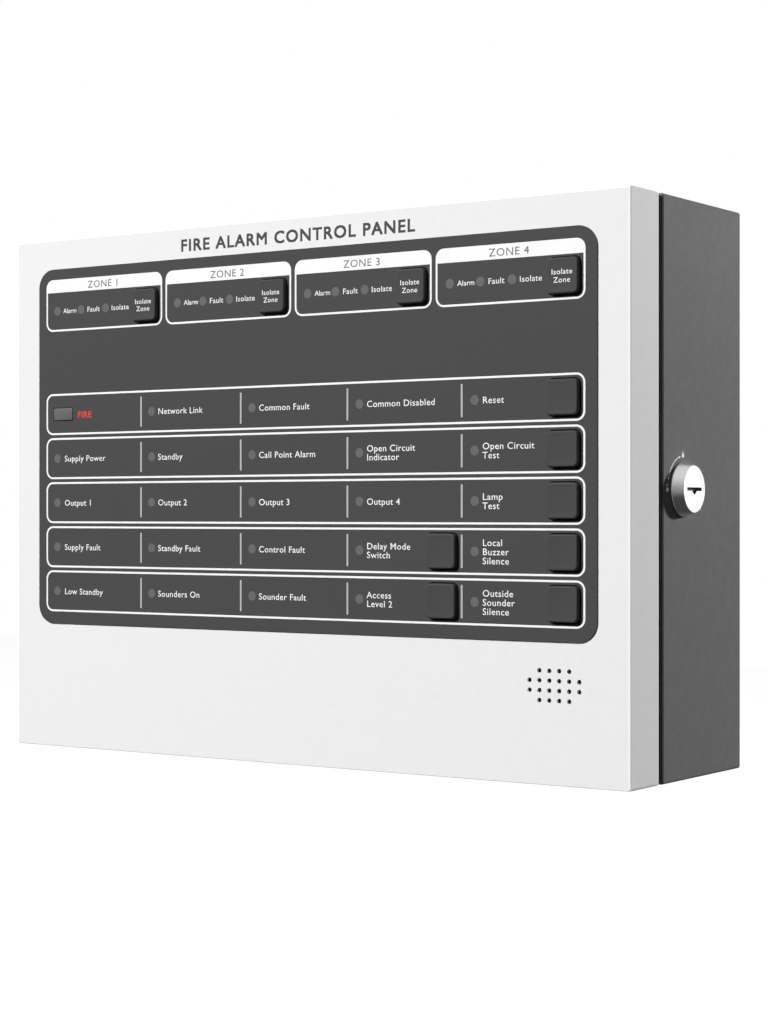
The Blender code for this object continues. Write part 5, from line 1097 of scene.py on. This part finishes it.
def make_battery(name):
    """A battery: a case, a lid over a groove, a vent cover, plus and minus marks and two tabs with holes."""
    low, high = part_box(name)
    top = high[2] - 6 * MM
    middle_y = (low[1] + high[1]) / 2
    bm = bmesh.new()
    add_block(bm, low, (high[0], high[1], top - 14 * MM), 1.5 * MM, 3)
    groove = 0.8 * MM
    add_block(bm, (low[0] + groove, low[1] + groove, top - 15 * MM),
              (high[0] - groove, high[1] - groove, top - 13 * MM), 0.3 * MM)
    piece(f"{name}_case", bm, BATTERY_CASE, "cabinet", replaces=name)
    bm = bmesh.new()
    add_block(bm, (low[0], low[1], top - 13.4 * MM), (high[0], high[1], top - 1.2 * MM), 1.3 * MM, 3)
    add_block(bm, (low[0] + 30 * MM, middle_y - 14 * MM, top - 2 * MM), (high[0] - 30 * MM, middle_y + 14 * MM, top),
              0.6 * MM)
    piece(f"{name}_lid", bm, BATTERY_LID, "cabinet")
    tabs, marks = bmesh.new(), bmesh.new()
    z = top - 7.4 * MM
    for x, plus, base in ((low[0] + 14 * MM, False, BLACK_PLASTIC), (high[0] - 14 * MM, True, RED_WIRE)):
        outer = rounded_points(x - 3.2 * MM, x + 3.2 * MM, top - MM, high[2], 0.8 * MM, 8)
        add_frame(tabs, outer, circle(x, top + 3 * MM, 1.1 * MM, len(outer)), middle_y - 0.4 * MM, middle_y + 0.4 * MM)
        add_plate(marks, oblong(x, z, 2.6 * MM, 0.5 * MM), low[1] - INK, low[1] + INK)
        if plus:
            add_plate(marks, oblong(x, z, 0.5 * MM, 2.6 * MM), low[1] - 1.5 * INK, low[1] + INK)
        pole = "plus" if plus else "minus"
        bm = bmesh.new()
        add_upright(bm, x, middle_y, (12 * MM, 9 * MM), top - 2 * MM, top - 0.3 * MM, 0.5 * MM)
        piece(f"{name}_{pole}_base", bm, base, "cabinet")
        bm = bmesh.new()
        add_upright(bm, x, middle_y, (7.8 * MM, 3.8 * MM), top + 1.4 * MM, high[2] + 4.5 * MM, 1.1 * MM, 3)
        sleeve, slot = (RED_WIRE, "red_wire") if plus and "right" in name else (BLACK_WIRE, "black_wire")
        piece(f"{name}_{pole}_sleeve", bm, sleeve, "cabinet")
    piece(f"{name}_tabs", tabs, SOLDER, "cabinet", smooth=False)
    piece(f"{name}_marks", marks, GREY_INK, "cabinet", smooth=False)


MAIN_PLUG = Vector((-152 * MM, -19 * MM, 45 * MM))
DISPLAY_PLUG = Vector((-140 * MM, FACE_Y + 17.1 * MM, 25 * MM))
RIBBON_ROUTE = [
    MAIN_PLUG + Vector((0, -3 * MM, 0)), MAIN_PLUG + Vector((0, -11 * MM, 0)),
    *(Vector(p) * MM for p in ((-146, -42, 44), (-133, -49, 42), (-150, -57, 40), (-168, -61, 37), (-171, -72, 33),
                               (-160, -80, 29), (-145, -82, 26))),
    DISPLAY_PLUG + Vector((0, 9 * MM, 0)), DISPLAY_PLUG + Vector((0, 3 * MM, 0)),
]
RIBBON_CORES = 20
EARTH_ROUTE = [Vector(p) * MM for p in (
    (-172.6, -8.4, -35), (-169, -12, -39), (-166, -26, -50), (-165, -48, -60), (-172, -66, -52), (-174, -82, -58),
    (-173, -93, -66), (-175.5, -103, -69), (-177.5, -109.6, -72.2))]


def make_ribbon():
    """The flat cable with its ridged cores, and a socket at each end."""
    route = smooth_route(RIBBON_ROUTE, 2.5 * MM)
    up, half = Vector((0, 0, 1)), 12.7 * MM
    bm = bmesh.new()
    rings = []
    for i, place in enumerate(route):
        ahead = route[min(i + 1, len(route) - 1)] - route[max(i - 1, 0)]
        out = ahead.cross(up).normalized()
        edge = [(-half + 2 * half * k / (4 * RIBBON_CORES), 0.22 * MM + 0.26 * MM * abs(math.sin(math.pi * k / 4)))
                for k in range(4 * RIBBON_CORES + 1)]
        rings.append([place + up * w + out * t for w, t in edge] + [place + up * w - out * t for w, t in edge[::-1]])
    add_rings(bm, rings)
    cable = piece("ribbon_cores", bm, RIBBON, None, replaces="ribbon_cable", sharp=60)
    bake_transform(cable)
    for place, name, body in ((MAIN_PLUG - Vector((0, 2.7 * MM, 0)), "main", "cabinet"),
                              (DISPLAY_PLUG + Vector((0, 2.7 * MM, 0)), "display", "door")):
        bm = bmesh.new()
        add_block(bm, place - Vector((3, 2.4, 15)) * MM, place + Vector((3, 2.4, 15)) * MM, 0.4 * MM)
        add_block(bm, place - Vector((1.2, 3.0, 13.4)) * MM, place + Vector((1.2, 3.0, 13.4)) * MM, 0.3 * MM)
        piece(f"ribbon_socket_{name}", bm, BLACK_PLASTIC, body)


def make_earth_lead():
    """The door's earth lead, a smooth tube left on no body."""
    bm = bmesh.new()
    add_tube(bm, EARTH_ROUTE, 1.3 * MM, 1.5 * MM)
    lead = piece("door_earth_core", bm, GREEN_WIRE, None, replaces="door_earth_lead", sharp=60)
    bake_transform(lead)


LEADS = {
    "battery_link_lead": (1.2, BLACK_WIRE, "black_wire", [
        (-18, -34.5, -35), (-18, -34.5, -28), (0, -40.5, -24), (18, -34.5, -28), (18, -34.5, -35)]),
    "battery_lead_red": (1.2, RED_WIRE, "red_wire", [
        (141, -34.5, -35), (141, -37.5, -27), (122, -44, -24), (86, -34, -26), (69, -20, -4), (67, -17.5, 12),
        (60.3, -17.5, 23.2)]),
    "battery_lead_black": (1.2, BLACK_WIRE, "black_wire", [
        (-141, -34.5, -35), (-138, -38.5, -27), (-100, -46, -26), (0, -48, -22), (48, -42, -16), (60, -30, 0),
        (63, -22, 12), (60.3, -17.5, 16.8)]),
    "supply_lead": (1.7, RED_WIRE, "red_wire", [
        (60.3, -17.5, 60), (68.3, -18.5, 58), (72, -20, 36), (74, -17, 12), (84, -14, 2), (96, -13, 1), (98, -13, 7),
        (98, -13, 15)]),
    "mains_lead": (2.0, BLACK_WIRE, "black_wire", [
        (102, -9.0, -5), (103, -9.7, 0), (113, -11.7, 3), (121, -13, 7), (122, -13, 16)]),
}


def make_leads():
    """The inner leads, smooth, with the plugs that join two of them to the main board."""
    for name, (radius, material, slot, points) in LEADS.items():
        bm = bmesh.new()
        add_tube(bm, [Vector(p) * MM for p in points], radius * MM, 1.2 * MM)
        piece(f"{name}_smooth", bm, material, "cabinet", replaces=name, sharp=60)
    bm = bmesh.new()
    for z in (20 * MM, 60 * MM):
        add_block(bm, (58.4 * MM, -20.3 * MM, z - 5.2 * MM), (62.2 * MM, -14.7 * MM, z + 5.2 * MM), 0.5 * MM)
    piece("lead_plugs", bm, NYLON, "cabinet")


def make_grommet(name):
    low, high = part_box(name)
    centre = (low + high) / 2
    outer = (high[0] - low[0]) / 2
    top, bottom, sheet = high[2], low[2], 137.5 * MM
    bm = bmesh.new()
    pairs = profile(bottom, (6.5, 0.5), (7, 0)) + [(outer - 0.6 * MM, bottom), (outer, bottom + 0.6 * MM)]
    pairs += [(outer, sheet - 1.8 * MM), *profile(sheet, (10.6, -1.5), (10.6, 0.3)), (outer, sheet + 0.4 * MM)]
    pairs += [(outer, sheet + 1.4 * MM), (outer - 1.4 * MM, top), *profile(top, (8, 0), (6.5, -1.2))]
    add_turned(bm, pairs, (centre[0], centre[1], 0), (0, 0, 1), 56)
    piece(f"{name}_ring", bm, SEAL_RUBBER_AND_GAP_SHADE, "cabinet", replaces=name)


def make_standoff(name):
    x, z = centre_of(name)
    bm = bmesh.new()
    add_turned(bm, profile(0, (0, 16.3), (1.0, 16.2), (2.6, 13.5), (2.5, 13.2), (1.8, 13.1), (1.8, 11.1), (3, 11.1),
                           (3, 3.2), (3.6, 3.0), (4.8, 3.0), (5, 2.8), (5, 1.5), (0, 1.5)), (x, 0, z), (0, -1, 0), 32)
    piece(f"{name}_turned", bm, NYLON, "cabinet", replaces=name)


def make_buzzer():
    """The sounder can, with a stepped rim and a deep sound port."""
    low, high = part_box("buzzer")
    (x, z), front, rear, radius = centre_of("buzzer"), low[1], high[1], (high[0] - low[0]) / 2
    bm = bmesh.new()
    pairs = profile(front, (0, 4), (3, 4), (3, 0.3), (3.3, 0), (12.5, 0), (12.8, 0.4), (14, 0.4), (14.7, 0.8))
    add_turned(bm, [*pairs, (radius, front + 1.3 * MM), (radius, rear), (0, rear)], (x, 0, z), (0, 1, 0), 64)
    piece("buzzer_can", bm, BLACK_PLASTIC, "door", replaces="buzzer")


def make_cam():
    """The lock's flat cam with rounded ends, and the screw that holds it on the plug's square."""
    low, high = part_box("lock_cam")
    half = (high[2] - low[2]) / 2
    tip = low[1] + 3 * MM
    arch = [math.pi * i / 24 for i in range(25)]
    outline = [(LOCK_Y + half * math.sin(a), half * math.cos(a)) for a in arch]
    corner = [math.pi / 2 * i / 6 for i in range(7)]
    outline += [(tip - 3 * MM * math.sin(a), -half + 3 * MM - 3 * MM * math.cos(a)) for a in corner]
    outline += [(tip - 3 * MM * math.cos(a), half - 3 * MM + 3 * MM * math.sin(a)) for a in corner]
    bm = bmesh.new()
    add_rings(bm, [[(x, y, z) for y, z in outline] for x in (low[0], high[0])])
    piece("lock_cam_plate", bm, STEEL, "lock", replaces="lock_cam")
    low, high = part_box("cam_screw")
    rear, seat, radius = low[0], low[0] + 2 * MM, (high[2] - low[2]) / 2
    bm = bmesh.new()
    add_turned(bm, [(0, rear + 1.2 * MM), (1.7 * MM, rear + 1.2 * MM), (1.9 * MM, rear), (radius - 0.8 * MM, rear),
                    (radius - 0.2 * MM, rear + 0.3 * MM), (radius, rear + 0.8 * MM), (radius, seat), (1.9 * MM, seat),
                    (1.9 * MM, high[0]), (0, high[0])], (0, LOCK_Y, 0), (1, 0, 0), 48)
    piece("cam_screw_head", bm, STEEL, "lock", replaces="cam_screw")


def make_inside():
    for place in ("upper", "lower"):
        make_hinge(place)
    make_nut("lock_nut", "cabinet", (1, 0, 0), 9.15 * MM)
    make_nut("earth_nut_box", "cabinet", (0, 1, 0), 2.55 * MM)
    make_nut("earth_nut_door", "door", (0, 1, 0), 2.55 * MM)
    for i in range(4):
        make_nut(f"display_board_nut_{i + 1}", "door", (0, 1, 0), 1.55 * MM)
        make_standoff(f"main_board_standoff_{i + 1}")
    for side in ("left", "right"):
        make_bracket_screw(f"bracket_screw_{side}")
        make_battery(f"battery_{side}")
        make_grommet(f"cable_grommet_{side}")
    make_buzzer()
    make_cam()
    make_main_board()
    for name, ways, side in STRIPS:
        make_terminal_strip(name, ways, side)
    make_display_board()
    make_supply_board()
    make_mains_block()
    make_ribbon()
    make_earth_lead()
    make_leads()


# ---- Light, floor and camera ----
KEY_LIGHT = ("key_softbox", (-3.0, -5.9, 4.3), (0, -0.1, 0), (1.7, 1.7), 785)
REAR_LIGHT = ("rear_softbox", (1.85, 2.65, 0.84), (0.19, -0.05, 0), (0.24, 0.24), 112)
FLOOR_Z, FLOOR_SIZE = -1.0, 12.0
CAMERA_PLACE, CAMERA_AIM = (0.663, -1.0, -0.0117), (-0.5664, 0.8241, 0.0)
CAMERA_LENS, CAMERA_SENSOR, CAMERA_SHIFT = 77.55, 36.0, 0.002


def area_light(name, place, target, size, power):
    data = bpy.data.lights.new(name, "AREA")
    data.shape = "RECTANGLE"
    data.size, data.size_y = size
    data.energy = power
    obj = bpy.data.objects.new(name, data)
    bpy.context.scene.collection.objects.link(obj)
    obj.location = place
    obj.rotation_euler = (Vector(target) - Vector(place)).to_track_quat("-Z", "Y").to_euler()
    return obj


def make_world():
    """Dim in front and below, brighter behind and overhead, and white where the camera sees it.

    Polished metal sees more light in front than matt surfaces do, as it would from cards that light nothing else.
    """
    world = bpy.data.worlds.new("studio")
    world.use_nodes = True
    tree = world.node_tree
    background = tree.nodes["Background"]
    parts = node(tree, "ShaderNodeSeparateXYZ")
    tree.links.new(node(tree, "ShaderNodeTexCoord").outputs["Generated"], parts.inputs[0])
    lit = node(tree, "ShaderNodeLightPath")

    def pick(factor, first, second):
        made = node(tree, "ShaderNodeMix", data_type="FLOAT")
        tree.links.new(factor, made.inputs[0])
        for socket, value in zip(made.inputs[2:4], (first, second)):
            if isinstance(value, float):
                socket.default_value = value
            else:
                tree.links.new(value, socket)
        return made.outputs[0]

    glossy = lit.outputs["Is Glossy Ray"]
    front = pick(glossy, 0.05, 0.3)
    rear = pick(glossy, 0.07, 0.8)
    overhead = pick(glossy, 0.1, 0.75)
    below = pick(glossy, 0.06, 0.05)
    level = pick(ramp(tree, parts.outputs["Y"], -0.2, 0.4, 0.0, 1.0), front, rear)
    level = pick(ramp(tree, parts.outputs["Z"], 0.1, 0.75, 0.0, 1.0), level, overhead)
    level = pick(ramp(tree, parts.outputs["Z"], -0.1, -0.5, 0.0, 1.0), level, below)
    background.inputs["Color"].default_value = (1, 1, 1, 1)
    tree.links.new(pick(lit.outputs["Is Camera Ray"], level, 1.0), background.inputs["Strength"])
    bpy.context.scene.world = world


def make_studio():
    make_world()
    area_light(*KEY_LIGHT)
    area_light(*REAR_LIGHT)
    bm = bmesh.new()
    bmesh.ops.create_grid(bm, x_segments=4, y_segments=4, size=FLOOR_SIZE, matrix=Matrix.Translation((0, 0, FLOOR_Z)))
    mesh = bpy.data.meshes.new("floor")
    bm.to_mesh(mesh)
    bm.free()
    mesh.materials.append(FLOOR)
    floor = bpy.data.objects.new("floor", mesh)
    bpy.context.scene.collection.objects.link(floor)
    floor.visible_diffuse = False
    floor.visible_glossy = False


def make_camera():
    data = bpy.data.cameras.new("camera")
    data.lens = CAMERA_LENS
    data.sensor_width = CAMERA_SENSOR
    data.shift_y = CAMERA_SHIFT
    camera = bpy.data.objects.new("camera", data)
    bpy.context.scene.collection.objects.link(camera)
    camera.location = CAMERA_PLACE
    camera.rotation_euler = Vector(CAMERA_AIM).to_track_quat("-Z", "Y").to_euler()
    bpy.context.scene.camera = camera
    bpy.context.scene.view_settings.view_transform = "Standard"


make_camera()
make_studio()
make_outlines()
make_windows()
make_legends()
for key_name in KEY_NAMES:
    make_key(key_name)
make_key_gap_shade_lips()
make_fire_lens()
make_lock()
make_lock_prints()
make_inside()
